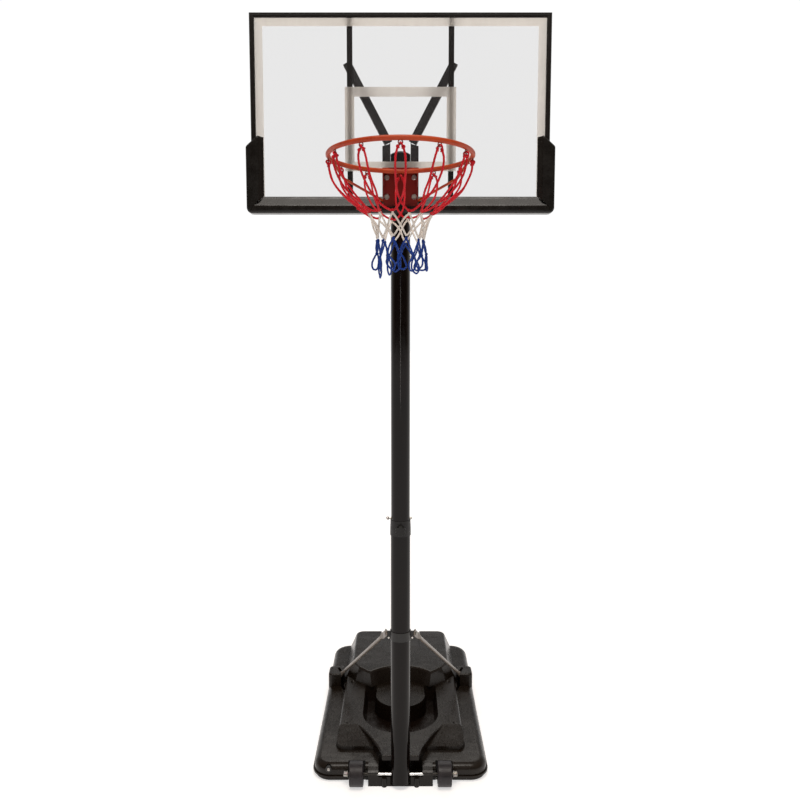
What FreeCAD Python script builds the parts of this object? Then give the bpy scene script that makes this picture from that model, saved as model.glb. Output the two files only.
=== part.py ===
import FreeCAD, Part
import math
import os

V = FreeCAD.Vector
os.makedirs("parts", exist_ok=True)

# Portable basketball hoop. Millimetres. Origin: floor level on the pole's axis.
# +X to the right when facing the board, +Y towards the rear of the base, +Z up.

# --- driving dimensions ---
rimHeight = 2440.0          # ring plane, at the height setting that is modelled
raiseTravel = 610.0         # the upper pole can be lifted this far, to a 3.05 m ring
holePitch = 152.5           # spacing of the height holes in the upper pole

poleOD, poleWall = 75.0, 1.8
lowerOD, lowerWall = 78.7, 1.5
lowerBottom, lowerTop = 26.0, 1078.0
innerBottom = 300.0         # lowest point of the tube that slides in the lower pole
pinZ, pinR = 1131.0, 5.0
jointZ, neckTop = 2085.0, 2195.0
poleTop = 2545.0
poleBoltZ = 2160.0

boardW, boardH = 1110.0, 720.0
boardBottom = rimHeight - 123.0
boardTop = boardBottom + boardH
boardFront = -75.0          # front face of the clear panel
panelT = 4.0
panelBack = boardFront + panelT
frameW, frameD = 18.5, 24.0
borderW = 29.5
targetW, targetH, targetLine = 412.0, 304.0, 35.0
targetBottom = rimHeight + 30.0
railX, railSize = 188.0, 20.0
screwR = 2.4

armGauge = 3.0
flangeIn, flangeOut = 38.2, 68.0
flangeFront = panelBack + railSize
boltX, boltTopZ, boltLowZ = 51.0, rimHeight + 6.0, rimHeight - 64.0
bendZ = rimHeight + 140.0
armLean = 28.0              # degrees from vertical
armTopX, armTopZ = railX, rimHeight + 408.0

ringR, rodR = 233.0, 8.0
ringY = boardFront - 378.0
plateHalf = 64.0
plateBottom, plateTop = rimHeight - 101.0, rimHeight + 26.0

axleZ, axleR = 51.0, 6.25
wheelX, wheelW, wheelR = 182.0, 58.0, 50.0
axleHalf = 232.0

baseFront, baseRear = 28.0, 1165.0
baseHalf = 366.0
deckZ, humpZ = 122.0, 190.0
seamZ = 22.0                # the two mould halves meet in a flange here
lugX, lugY, lugZ = 311.0, 738.0, 118.0
lugSeat = 20.0              # the bolt head and nut stand this far from the middle of the boss
clampZ = 650.0
strutTopX, strutTopY = 60.0, 8.0
earBoltX = 47.5
earBoltZ = clampZ - 12.5    # below the strut bolt


# --- helpers ---
def box(x0, x1, y0, y1, z0, z1):
    return Part.makeBox(x1 - x0, y1 - y0, z1 - z0, V(x0, y0, z0))


def rod(radius, start, end):
    a, b = V(*start), V(*end)
    return Part.makeCylinder(radius, (b - a).Length, a, b - a)


def tube(outer, inner, start, end):
    return rod(outer, start, end).cut(rod(inner, start, end))


def fuse(shapes):
    whole = shapes[0].fuse(shapes[1:]) if len(shapes) > 1 else shapes[0]
    return whole.removeSplitter()


def mirrorX(shape):
    return shape.mirror(V(0, 0, 0), V(1, 0, 0))


def group(shapes):
    return Part.makeCompound(shapes)


def prism(points, direction):
    wire = Part.makePolygon([V(*p) for p in points + points[:1]])
    return Part.Face(wire).extrude(V(*direction))


def filletWhere(shape, radius, test):
    edges = [e for e in shape.Edges if test(e)]
    return shape.makeFillet(radius, edges) if edges else shape


def midPoint(edge):
    return edge.valueAt((edge.FirstParameter + edge.LastParameter) / 2)


def isVertical(edge):
    a, b = edge.Vertexes[0].Point, edge.Vertexes[-1].Point
    return abs(a.x - b.x) < 1e-4 and abs(a.y - b.y) < 1e-4 and abs(a.z - b.z) > 1e-3


def roundedBox(x0, x1, y0, y1, z0, z1, radius):
    return filletWhere(box(x0, x1, y0, y1, z0, z1), radius, isVertical)


def roundedWire(halfX, y0, y1, z, frontR, rearR):
    """Closed outline, symmetric in X, with its own front and rear corner radii."""
    def corner(cx, cy, radius, startDeg):
        a0, am, a1 = [math.radians(startDeg + k) for k in (0, 45, 90)]
        pts = [V(cx + radius * math.cos(a), cy + radius * math.sin(a), z) for a in (a0, am, a1)]
        return Part.Arc(*pts).toShape(), pts[0], pts[2]
    corners = [corner(halfX - frontR, y0 + frontR, frontR, 270),
               corner(halfX - rearR, y1 - rearR, rearR, 0),
               corner(-halfX + rearR, y1 - rearR, rearR, 90),
               corner(-halfX + frontR, y0 + frontR, frontR, 180)]
    edges = []
    for k, (arc, _, end) in enumerate(corners):
        edges += [arc, Part.makeLine(end, corners[(k + 1) % 4][1])]
    return Part.Wire(edges)


def hexBolt(start, direction, shankR, length, headAcross, headT, washerR=0.0):
    """Hex head bolt: start is under the head, the shank runs along direction."""
    d = V(*direction).normalize()
    s = V(*start)
    r = headAcross / math.sqrt(3)
    side = d.cross(V(0, 0, 1))
    if side.Length < 0.1:
        side = d.cross(V(0, 1, 0))
    side.normalize()
    up = d.cross(side)
    ring = [s + side * (r * math.cos(math.radians(60 * k))) + up * (r * math.sin(math.radians(60 * k)))
            for k in range(7)]
    head = Part.Face(Part.makePolygon(ring)).extrude(d * -headT)
    dome = Part.makeCone(headAcross / 2 * 1.32, headAcross / 2 * 0.9, headT, s, d * -1)
    head = head.common(dome)
    parts = [head, Part.makeCylinder(shankR, length, s, d)]
    return fuse(parts)


def hexNut(start, direction, holeR, across, thick):
    """Hex nut: start is on its bearing face, direction points out of that face."""
    d = V(*direction).normalize()
    s = V(*start)
    nut = hexBolt(start, direction, holeR, 0.5, across, thick)
    return nut.cut(Part.makeCylinder(holeR, thick + 3, s + d * 1.0, d * -1))


# --- base ---
def baseOutline(inset, z0, z1):
    wire = roundedWire(baseHalf - inset, baseFront + inset, baseRear - inset, z0, 72 - inset, 86 - inset)
    return Part.Face(wire).extrude(V(0, 0, z1 - z0))


def ledgeTop(drop=0.0):
    """Everything under the ledge, which climbs gently from the front to the rear."""
    zf, zr = 70.0 - drop, 100.0 - drop
    return prism([(-500, -60, -5), (-500, 1200, -5), (-500, 1200, zr), (-500, -60, zf)], (1000, 0, 0))


def centralBlock(inset):
    """Raised deck with sloping flanks; its front part is a ramp."""
    foot = roundedWire(290 - inset, 122 + inset, baseRear - 13 - inset, 30, 46, 60)
    top = roundedWire(270 - inset, 146 + inset, baseRear - 29 - inset, 135, 34, 48)
    block = Part.makeLoft([foot, top], True, True)
    d = inset
    side = prism([(-400, 100, 20), (-400, 1200, 20), (-400, 1200, deckZ - d), (-400, 262 + d, deckZ - d),
                  (-400, 140, 92 - d), (-400, 100, 82 - d)], (800, 0, 0))
    return block.common(side)


def humpWire(z, arcR, cornerX, sideX, sideY, halfX, rearY, rearR):
    cy = 493.0
    lipY = cy + math.sqrt(arcR ** 2 - cornerX ** 2)
    left = V(-cornerX, lipY, z)
    mid = V(0, cy + arcR, z)
    right = V(cornerX, lipY, z)
    q = rearR * (1 - math.sqrt(0.5))
    edges = [Part.Arc(left, mid, right).toShape()]
    edges.append(Part.makeLine(right, V(sideX, sideY, z)))
    edges.append(Part.makeLine(V(sideX, sideY, z), V(halfX, sideY + 60, z)))
    edges.append(Part.makeLine(V(halfX, sideY + 60, z), V(halfX, rearY - rearR, z)))
    edges.append(Part.Arc(V(halfX, rearY - rearR, z), V(halfX - q, rearY - q, z),
                          V(halfX - rearR, rearY, z)).toShape())
    edges.append(Part.makeLine(V(halfX - rearR, rearY, z), V(rearR - halfX, rearY, z)))
    edges.append(Part.Arc(V(rearR - halfX, rearY, z), V(q - halfX, rearY - q, z),
                          V(-halfX, rearY - rearR, z)).toShape())
    edges.append(Part.makeLine(V(-halfX, rearY - rearR, z), V(-halfX, sideY + 60, z)))
    edges.append(Part.makeLine(V(-halfX, sideY + 60, z), V(-sideX, sideY, z)))
    edges.append(Part.makeLine(V(-sideX, sideY, z), left))
    return Part.Wire(edges)


def hump(inset):
    foot = humpWire(98 - inset, 166 + inset, 138, 232 - inset, 668 + inset, 284 - inset, baseRear - 13 - inset, 60)
    top = humpWire(humpZ - inset, 202 + inset, 152, 208 - inset, 684 + inset, 243 - inset, baseRear - 33 - inset, 42)
    return Part.makeLoft([foot, top], True, True)


def humpValley(extra=0.0):
    """Shallow trough in the rear edge, which narrows towards the pole."""
    def outline(z, grow):
        pts = [(-108 - grow, 1200), (-108 - grow, 925), (-58 - grow, 812), (58 + grow, 812), (108 + grow, 925),
               (108 + grow, 1200)]
        return Part.makePolygon([V(x, y, z) for x, y in pts + pts[:1]])
    return Part.makeLoft([outline(humpZ - 17 - extra, -9 + extra), outline(humpZ + 4, 2 + extra)], True, True)


def throat(inset):
    """Raised tongue between the deck and the foot of the pole, with curved flanks."""
    z0, z1 = 20.0, deckZ - inset
    a, m, b = V(-203 + inset, 268, z0), V(-119 + inset, 138, z0), V(-76 + inset, 14 + inset, z0)
    left = Part.Arc(a, m, b).toShape()
    right = Part.Arc(V(-b.x, b.y, z0), V(-m.x, m.y, z0), V(-a.x, a.y, z0)).toShape()
    wire = Part.Wire([left, Part.makeLine(b, V(-b.x, b.y, z0)), right, Part.makeLine(V(-a.x, a.y, z0), a)])
    return Part.Face(wire).extrude(V(0, 0, z1 - z0))


def wellWire(z, halfX, frontR, rearY):
    cy = 362.0
    left, right = V(-halfX, cy, z), V(halfX, cy, z)
    edges = [Part.Arc(left, V(0, cy - frontR, z), right).toShape(), Part.makeLine(right, V(halfX, rearY, z)),
             Part.makeLine(V(halfX, rearY, z), V(-halfX, rearY, z)), Part.makeLine(V(-halfX, rearY, z), left)]
    return Part.Wire(edges)


def well(grow=0.0):
    """Deep hollow behind the pole. A round table stands in it, joined to the rear."""
    floorZ = 48.0 - grow
    hole = Part.makeLoft([wellWire(floorZ, 160 + grow, 160 + grow, 606 + grow),
                          wellWire(deckZ + 3, 174 + grow, 176 + grow, 620 + grow)], True, True)
    table = Part.makeCone(129 - grow, 118 - grow, 100, V(0, 528, deckZ - 100), V(0, 0, 1))
    bridge = box(-116 + grow, 116 - grow, 560, 700, 10, deckZ)
    return hole.cut(fuse([table, bridge]))


def lugBlock(inset):
    """Raised boss on the ledge that holds the lower end of a strut."""
    block = roundedBox(lugX - 26 + inset, baseHalf - 2 - inset, lugY - 52 + inset, lugY + 42 - inset,
                       40, 150 - inset, 18 - inset)
    return block


def frontPiece(side):
    """Cheek beside the wheel and the low bar in front of the axle, on one side."""
    cheek = prism([(0, -6, 0), (0, 60, 0), (0, 60, 72), (0, 22, 70), (0, 0, 66), (0, -6, 60)], (42, 0, 0))
    cheek.translate(V(92, 0, 0))
    bar = box(42, 96, -6, 9, 0, 41)
    rib = rod(11, (67, -4, 0), (67, -4, 38))
    floor = box(0, 134, -6, 60, 0, 7)
    piece = fuse([cheek, bar, rib, floor])
    return piece if side > 0 else mirrorX(piece)


def wheelWell(side):
    arch = rod(64, (side * 146.5, 0, axleZ), (side * 219, 0, axleZ))
    mouth = box(146.5, 219, -80, 40, -5, 58)
    mouth = mouth if side > 0 else mirrorX(mouth)
    return fuse([arch, mouth])


def bossHoles():
    cuts = []
    for side in (-1, 1):
        cuts.append(rod(5, (side * 239, 270, 60), (side * 239, 270, 140)))
        cuts.append(Part.makeSphere(15, V(side * 236, 662, deckZ + 8)))
        slot = box(lugX - 6.5, lugX + 6.5, lugY - 110, lugY + 22, 62, 160)
        slot.rotate(V(lugX, lugY, 0), V(0, 0, 1), -strutTurn())
        slot = slot if side > 0 else mirrorX(slot)
        cuts.append(slot)
    return cuts


def outerBase():
    body = baseOutline(0, seamZ, 160).common(ledgeTop())
    body = filletWhere(body, 30, lambda e: midPoint(e).z > 60 and not isVertical(e))
    skirt = baseOutline(5, 0, seamZ)
    skirt = filletWhere(skirt, 7, lambda e: midPoint(e).z < 1)
    flange = baseOutline(-6, seamZ - 3, seamZ + 4)
    block = centralBlock(0)
    block = filletWhere(block, 9, lambda e: midPoint(e).z > deckZ - 1 and not isVertical(e))
    top = hump(0)
    top = filletWhere(top, 12, lambda e: midPoint(e).z > humpZ - 1)
    tongue = filletWhere(throat(0), 5, lambda e: midPoint(e).z > deckZ - 1)
    lugs = [filletWhere(lugBlock(0), 8, lambda e: midPoint(e).z > 149)]
    lugs.append(mirrorX(lugs[0]))
    solid = fuse([body, skirt, flange, block, tongue, top] + lugs)
    solid = solid.cut(humpValley())
    solid = solid.cut(well())
    return solid


def innerBase(wall, c=0.0):
    """Water space: the same shape drawn inwards by the wall. c widens what is left out of it."""
    body = baseOutline(wall + 9, wall, 160).common(ledgeTop(wall + 5))
    block = centralBlock(wall + 3)
    top = hump(wall + 4)
    solid = fuse([body, block, top])
    solid = solid.cut(humpValley(wall + 1))
    solid = solid.cut(well(wall))
    solid = solid.cut(box(-240 - c, 240 + c, -80, 92 + c, -5, 200))
    for side in (-1, 1):
        keep = box(lugX - 40 - c, 400, lugY - 140 - c, lugY + 70 + c, 40 - c, 200)
        solid = solid.cut(keep if side > 0 else mirrorX(keep))
        solid = solid.cut(rod(12 + c, (side * 239, 270, 0), (side * 239, 270, 200)))
        solid = solid.cut(rod(26 + c, (side * 236, 662, 90 - c), (side * 236, 662, 200)))
    return solid.cut(rod(30 + c, (-300, 20, 58), (-300, 90 + c, 58)))


def baseTank():
    solid = outerBase()
    solid = solid.cut(box(-94, 94, -80, 66, -5, 101))
    solid = solid.cut(box(-41, 41, -80, 0, -5, 200)).cut(rod(41, (0, 0, -5), (0, 0, 200)))
    solid = fuse([solid, frontPiece(1), frontPiece(-1)])
    for side in (-1, 1):
        solid = solid.cut(wheelWell(side))
    solid = solid.cut(rod(axleR + 0.15, (-400, 0, axleZ), (400, 0, axleZ)))
    for hole in bossHoles():
        solid = solid.cut(hole)
    for bore in (rod(4.2, (lugX - 30, lugY, lugZ), (lugX + 30, lugY, lugZ)),
                 rod(9.0, (lugX - 36, lugY, lugZ), (lugX - lugSeat, lugY, lugZ)),
                 rod(9.0, (lugX + lugSeat, lugY, lugZ), (lugX + 70, lugY, lugZ))):
        bore.rotate(V(lugX, lugY, lugZ), V(0, 0, 1), -strutTurn())
        solid = solid.cut(bore).cut(mirrorX(bore))
    solid = solid.cut(rod(13, (-300, -20, 56), (-300, 48, 56))).cut(rod(9, (-300, 20, 56), (-300, 70, 56)))
    return solid.cut(innerBase(4.5))


def ballast():
    """Water in the tank, up to a little below the deck."""
    return innerBase(12.0, 3.0).cut(box(-500, 500, -100, 1300, 112, 300))


def strutTurn():
    """Angle of the struts' vertical plane from the Y axis, in plan."""
    return math.degrees(math.atan2(lugX - strutTopX, lugY - strutTopY))


# --- small parts of the base ---
def drainPlug():
    """Screw plug in the front left corner, with a slot across its head."""
    stem = rod(8.9, (-300, 30, 56), (-300, 58, 56))
    head = filletWhere(rod(12.6, (-300, 21, 56), (-300, 31, 56)), 2.0, lambda e: midPoint(e).y < 22)
    slot = box(-309, -291, 15, 25, 54.6, 57.4)
    return fuse([stem, head]).cut(slot)


def wheelAxle():
    return rod(axleR, (-axleHalf, 0, axleZ), (axleHalf, 0, axleZ))


def axleNuts():
    nuts = []
    for side in (-1, 1):
        cap = rod(10.5, (side * (axleHalf - 12), 0, axleZ), (side * (axleHalf + 4), 0, axleZ))
        cap = filletWhere(cap, 4, lambda e: abs(midPoint(e).x) > axleHalf + 3)
        washer = rod(12.5, (side * (axleHalf - 13.5), 0, axleZ), (side * (axleHalf - 12), 0, axleZ))
        core = rod(axleR, (-axleHalf, 0, axleZ), (axleHalf, 0, axleZ))
        nuts.append(fuse([cap, washer]).cut(core))
    return group(nuts)


def wheel(side):
    """Moulded wheel: rounded tread, recessed faces with a hub and spokes."""
    x0, x1 = side * (wheelX - wheelW / 2), side * (wheelX + wheelW / 2)
    body = rod(wheelR - 0.5, (x0, 0, axleZ), (x1, 0, axleZ))
    body = body.makeFillet(5.0, [e for e in body.Edges if abs(e.Length - 2 * math.pi * (wheelR - 0.5)) < 1])
    for xa, xb in ((x0, x0 + side * 20), (x1, x1 - side * 20)):
        pocket = tube(wheelR - 11, 15, (xa, 0, axleZ), (xb, 0, axleZ))
        lo, hi = min(xa, xb), max(xa, xb)
        spokes = []
        for k in range(5):
            spoke = box(lo, hi, -3, 3, axleZ, axleZ + wheelR - 8)
            spoke.rotate(V(0, 0, axleZ), V(1, 0, 0), 72 * k)
            spokes.append(spoke)
        body = body.cut(pocket.cut(fuse(spokes)))
    return body.cut(rod(axleR + 0.06, (x0 - side, 0, axleZ), (x1 + side, 0, axleZ)))


# --- pole ---
def lowerPole():
    post = tube(lowerOD / 2, lowerOD / 2 - lowerWall, (0, 0, lowerBottom), (0, 0, lowerTop))
    return post.cut(rod(axleR + 0.05, (-60, 0, axleZ), (60, 0, axleZ)))


def poleFoot():
    """Plastic cap on the bottom end of the lower pole."""
    plug = tube(lowerOD / 2 - lowerWall, 30, (0, 0, lowerBottom), (0, 0, lowerBottom + 14))
    rim = rod(lowerOD / 2 + 0.5, (0, 0, lowerBottom - 4), (0, 0, lowerBottom))
    return fuse([plug, rim])


def collar():
    """Bush on the lower pole. The height pin rests on its top edge."""
    top = pinZ - pinR - 0.3
    outer = rod(41.5, (0, 0, lowerTop - 14), (0, 0, lowerTop + 12))
    taper = Part.makeCone(41.5, 40.0, top - lowerTop - 12, V(0, 0, lowerTop + 12), V(0, 0, 1))
    body = fuse([outer, taper])
    body = body.cut(rod(lowerOD / 2, (0, 0, lowerTop - 20), (0, 0, lowerTop)))
    body = body.cut(rod(poleOD / 2 + 0.06, (0, 0, lowerTop - 20), (0, 0, top + 5)))
    boss = rod(13, (0, -38.5, lowerTop + 14), (0, -46, lowerTop + 14))
    boss = boss.cut(rod(39.5, (0, 0, 0), (0, 0, 2000)))
    return fuse([body, boss]).cut(rod(5, (0, -30, lowerTop + 14), (0, -60, lowerTop + 14)))


def clampKnob():
    """Hand screw on the collar that takes the play out of the joint."""
    z = lowerTop + 14
    knob = rod(21, (0, -46.5, z), (0, -62, z))
    for k in range(6):
        a = math.radians(60 * k)
        x, up = 24 * math.cos(a), z + 24 * math.sin(a)
        flute = rod(6.5, (x, -40, up), (x, -70, up))
        knob = knob.cut(flute)
    knob = filletWhere(knob, 2.0, lambda e: midPoint(e).y < -61.9)
    return fuse([knob, rod(4.95, (0, -38.2, z), (0, -47, z))])


def middlePole():
    """Long tube that slides in the lower pole. Its swaged neck fits the top pole."""
    r = poleOD / 2
    post = tube(r, r - poleWall, (0, 0, innerBottom), (0, 0, jointZ))
    neck = tube(r - poleWall - 0.05, r - 2 * poleWall, (0, 0, jointZ), (0, 0, neckTop))
    step = tube(r, r - 2 * poleWall, (0, 0, jointZ - 6), (0, 0, jointZ))
    post = fuse([post, neck, step])
    for k in range(-1, 5):
        z = pinZ - holePitch * k
        post = post.cut(rod(pinR + 0.06, (-60, 0, z), (60, 0, z)))
    return post.cut(rod(4.1, (-60, 0, poleBoltZ), (60, 0, poleBoltZ)))


def poleGlide():
    """Plastic plug on the lower end of the middle pole. It runs in the lower pole."""
    flange = rod(lowerOD / 2 - lowerWall - 0.05, (0, 0, innerBottom - 18), (0, 0, innerBottom))
    plug = rod(poleOD / 2 - poleWall, (0, 0, innerBottom), (0, 0, innerBottom + 30))
    return fuse([flange, plug]).cut(rod(26, (0, 0, innerBottom - 30), (0, 0, innerBottom + 60)))


def topPole():
    r = poleOD / 2
    post = tube(r, r - poleWall, (0, 0, jointZ), (0, 0, poleTop))
    post = post.cut(rod(4.1, (-60, 0, poleBoltZ), (60, 0, poleBoltZ)))
    for z in crossBoltZ():
        post = post.cut(rod(5.1, (-60, 0, z), (60, 0, z)))
    return post


def poleCap():
    r = poleOD / 2
    dome = Part.makeSphere(64, V(0, 0, poleTop + 14 - 64))
    cap = rod(r + 0.6, (0, 0, poleTop), (0, 0, poleTop + 20)).common(dome)
    return fuse([cap, tube(r - poleWall, r - 5, (0, 0, poleTop - 22), (0, 0, poleTop))])


def poleBolt():
    bolt = hexBolt((-poleOD / 2 - 1.2, 0, poleBoltZ), (1, 0, 0), 4.0, poleOD + 13, 13, 5.3)
    washer = tube(8, 4.0, (-poleOD / 2 - 1.2, 0, poleBoltZ), (-poleOD / 2, 0, poleBoltZ))
    nut = hexNut((poleOD / 2 + 0.3, 0, poleBoltZ), (-1, 0, 0), 4.0, 13, 6.5)
    return group([fuse([bolt, washer]), nut])


def heightPin():
    """Pull-out pin: ball grip on the left, turned-down tip on the right."""
    shank = rod(pinR, (-42, 0, pinZ), (43, 0, pinZ))
    tip = Part.makeCone(pinR, pinR - 2, 4, V(43, 0, pinZ), V(1, 0, 0))
    neck = rod(3.2, (-48, 0, pinZ), (-42, 0, pinZ))
    ball = Part.makeSphere(7.0, V(-51, 0, pinZ))
    return fuse([shank, tip, neck, ball])


# --- struts ---
def strutFrame(shape):
    """Turns a shape drawn beside a strut's end, X outwards and Y along the strut, into place on the right."""
    shape.rotate(V(0, 0, 0), V(0, 0, 1), -strutTurn())
    shape.translate(V(strutTopX, strutTopY, clampZ))
    return shape


def clampBand():
    """Two half rings round the lower pole. The rear one has folded tabs for the struts."""
    halves = []
    r = lowerOD / 2
    for front in (-1, 1):
        ring = tube(r + 3, r, (0, 0, clampZ - 18), (0, 0, clampZ + 18))
        half = ring.common(box(-80, 80, 0.2, 80, clampZ - 30, clampZ + 30))
        ear = box(r + 0.5, 53.5, 0.2, 3.2, clampZ - 18, clampZ + 14)
        if front > 0:
            ear = ear.fuse(strutFrame(box(-4.9, -1.9, -9, 13, -14, 14)))
        ear = ear.cut(rod(r, (0, 0, 0), (0, 0, 900)))
        ear = ear.cut(rod(2.6, (earBoltX, -10, earBoltZ), (earBoltX, 20, earBoltZ)))
        ear = ear.cut(strutFrame(rod(4.4, (-20, 0, 0), (20, 0, 0)).fuse(rod(7.8, (-20, 0, 0), (-4.9, 0, 0)))))
        half = half.fuse(ear).fuse(mirrorX(ear))
        halves.append(half if front > 0 else half.mirror(V(0, 0, 0), V(0, 1, 0)))
    return group(halves)


def clampBolts():
    bolts = []
    for side in (-1, 1):
        bolts.append(hexBolt((side * earBoltX, -3.2, earBoltZ), (0, 1, 0), 2.5, 12, 8, 3.5))
        bolts.append(hexNut((side * earBoltX, 3.2, earBoltZ), (0, -1, 0), 2.5, 8, 4))
    return group(bolts)


def strut(side):
    """Brace tube with flattened ends, from the clamp band down to the base."""
    top, low = V(strutTopX, strutTopY, clampZ), V(lugX, lugY, lugZ)
    along = low - top
    run = along.Length
    flat = box(-12.8, 12.8, -1.8, 1.8, -15, 46)
    flat = filletWhere(flat, 12, lambda e: abs(midPoint(e).y) < 0.1 and midPoint(e).z < -14)
    flat = flat.cut(rod(4.1, (0, -10, 0), (0, 10, 0)))
    neck = Part.makeCone(13, 7.5, 34, V(0, 0, 38), V(0, 0, 1))
    neck = neck.common(prism([(-20, -2, 38), (-20, 2, 38), (-20, 8.6, 72), (-20, -8.6, 72)], (40, 0, 0)))
    brace = rod(7.5, (0, 0, 68), (0, 0, run - 68))
    for piece in (neck, flat):
        brace = brace.fuse(piece)
        brace = brace.fuse(piece.mirror(V(0, 0, run / 2), V(0, 0, 1)))
    turn = strutTurn()
    tilt = math.degrees(math.acos(along.z / run))
    # first turned so the flat stands in the vertical plane of the strut, then tilted down
    brace.rotate(V(0, 0, 0), V(0, 0, 1), 90)
    brace.rotate(V(0, 0, 0), V(1, 0, 0), -tilt)
    brace.rotate(V(0, 0, 0), V(0, 0, 1), -turn)
    brace.translate(top)
    return brace if side > 0 else mirrorX(brace)


def strutBolts():
    """Bolts and nuts at both ends of the struts."""
    bolts = []
    for side in (-1, 1):
        bolt, nut = hexBolt((1.8, 0, 0), (-1, 0, 0), 4.0, 16, 13, 5.3), hexNut((-4.9, 0, 0), (1, 0, 0), 4.0, 13, 6.5)
        for piece in (bolt, nut):
            piece = strutFrame(piece)
            bolts.append(piece if side > 0 else mirrorX(piece))
        bolt = hexBolt((lugX - lugSeat, lugY, lugZ), (1, 0, 0), 4.0, 2 * lugSeat + 9, 13, 5.3)
        nut = hexNut((lugX + lugSeat, lugY, lugZ), (-1, 0, 0), 4.0, 13, 6.5)
        for piece in (bolt, nut):
            piece.rotate(V(lugX, lugY, lugZ), V(0, 0, 1), -strutTurn())
            bolts.append(piece if side > 0 else mirrorX(piece))
    return group(bolts)


# --- brackets between the pole and the board ---
def crossBoltZ():
    return (rimHeight - 82, rimHeight + 58)


def arm(side):
    """Folded steel arm: a cheek beside the pole, a front flange, and a channel that leans outwards."""
    x0, x1 = flangeIn, flangeOut
    y0 = flangeFront
    z0 = boardBottom + 8
    flange = prism([(x0, y0, z0), (x1, y0, z0), (x1, y0, bendZ - 13), (x0, y0, bendZ - 4)], (0, armGauge, 0))
    cheek = prism([(x0, y0, z0), (x0, 26, z0 + 6), (x0, 30, z0 + 14), (x0, 30, bendZ - 70),
                   (x0, y0 + 22, bendZ - 6), (x0, y0 + 22, bendZ + 20), (x0, y0, bendZ + 20)], (armGauge, 0, 0))
    bolts = [rod(5.3, (boltX, -90, z), (boltX, 0, z)) for z in (boltTopZ, boltLowZ)]
    length = (armTopZ - bendZ) / math.cos(math.radians(armLean)) + 32
    w = 31.0
    strip = box(0, w, y0, y0 + armGauge, 6, length)
    inner = box(0, armGauge, y0, y0 + 22, 14, length)
    outer = box(w - armGauge, w, y0, y0 + 22, 10, length)
    channel = fuse([strip, inner, outer])
    channel.rotate(V(0, 0, 0), V(0, 1, 0), armLean)
    channel.translate(V(x0 - 10, 0, bendZ))
    whole = fuse([flange, cheek, channel])
    for z in crossBoltZ():
        whole = whole.cut(rod(5.1, (0, 0, z), (80, 0, z)))
    for b in bolts + [rod(4.1, (armTopX, -90, armTopZ), (armTopX, 0, armTopZ))]:
        whole = whole.cut(b)
    return whole if side > 0 else mirrorX(whole)


def crossBolts():
    """Bolts through both arm cheeks and the top pole."""
    grip = flangeIn + armGauge
    bolts = []
    for z in crossBoltZ():
        bolts.append(hexBolt((-grip, 0, z), (1, 0, 0), 5.0, 2 * grip + 12, 16, 6.4))
        bolts.append(hexNut((grip, 0, z), (-1, 0, 0), 5.0, 16, 8.0))
        for side in (-1, 1):
            bolts.append(tube(11, 5.0, (side * poleOD / 2, 0, z), (side * flangeIn, 0, z)).cut(
                rod(poleOD / 2, (0, 0, z - 40), (0, 0, z + 40))))
    return group(bolts)


def armBolts():
    """Bolts that hold the top ends of the arms to the board rails."""
    bolts = []
    y = flangeFront - 1.6
    for side in (-1, 1):
        bolts.append(hexBolt((side * armTopX, y, armTopZ), (0, 1, 0), 4.0, 14, 13, 5.3))
        bolts.append(hexNut((side * armTopX, flangeFront + armGauge, armTopZ), (0, -1, 0), 4.0, 13, 6.5))
    return group(bolts)


# --- board ---
def panel():
    inset = 4.0
    half = boardW / 2 - inset
    sheet = box(-half, half, boardFront, panelBack, boardBottom + inset, boardTop - inset)
    for x in (-boltX, boltX):
        for z in (boltTopZ, boltLowZ):
            sheet = sheet.cut(rod(5.3, (x, -90, z), (x, -50, z)))
    return sheet


def printBand(halfW, z0, z1, line, thick=0.4):
    outer = box(-halfW, halfW, boardFront - thick, boardFront, z0, z1)
    return outer.cut(box(-halfW + line, halfW - line, boardFront - 5, boardFront + 5, z0 + line, z1 - line))


def borderPrint():
    """Off-white band inside the frame, broken where the rim plate's gasket sits."""
    band = printBand(boardW / 2 - frameW, boardBottom + frameW, boardTop - frameW, borderW)
    return band.cut(box(-plateHalf - 0.5, plateHalf + 0.5, -90, -70, plateBottom - 0.5, plateTop + 0.5))


def targetPrint():
    return printBand(targetW / 2, targetBottom, targetBottom + targetH, targetLine)


def frameSection():
    """Closed outline of the frame bar: y against distance in from the outer edge."""
    y0 = boardFront - 5.5
    y1 = y0 + frameD
    return [(y0 + 4.5, 0), (y0 + 1.0, 3.0), (y0 + 1.0, frameW / 2 - 1.2), (y0, frameW / 2),
            (y0 + 1.0, frameW / 2 + 1.2),
            (y0 + 1.6, frameW - 2.0), (boardFront - 0.5, frameW), (boardFront, frameW), (boardFront, 3.9),
            (panelBack + 0.05, 3.9), (panelBack + 0.05, frameW - 6), (y1, frameW - 6), (y1, 0)]


def frameBar(which):
    """One mitred bar. The front lip covers the panel's edge."""
    halfW = boardW / 2
    section = frameSection()
    if which in ("top", "bottom"):
        sign = -1 if which == "top" else 1
        edge = boardTop if which == "top" else boardBottom
        bar = prism([(-halfW, y, edge + sign * d) for y, d in section], (boardW, 0, 0))
        tri = [(-halfW, -120, edge), (halfW, -120, edge), (0, -120, edge + sign * halfW)]
    else:
        sign = 1 if which == "left" else -1
        edge = -sign * halfW
        bar = prism([(edge + sign * d, y, boardBottom) for y, d in section], (0, 0, boardH))
        tri = [(edge, -120, boardBottom), (edge, -120, boardTop),
               (edge + sign * boardH / 2, -120, (boardTop + boardBottom) / 2)]
    bar = bar.common(prism(tri, (0, 120, 0)))
    if which in ("top", "bottom"):
        y = panelBack + railSize / 2
        for x in (-railX, railX):
            bar = bar.cut(rod(screwR + 0.05, (x, y, edge - sign * 5), (x, y, edge + sign * frameW)))
    return bar


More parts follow.
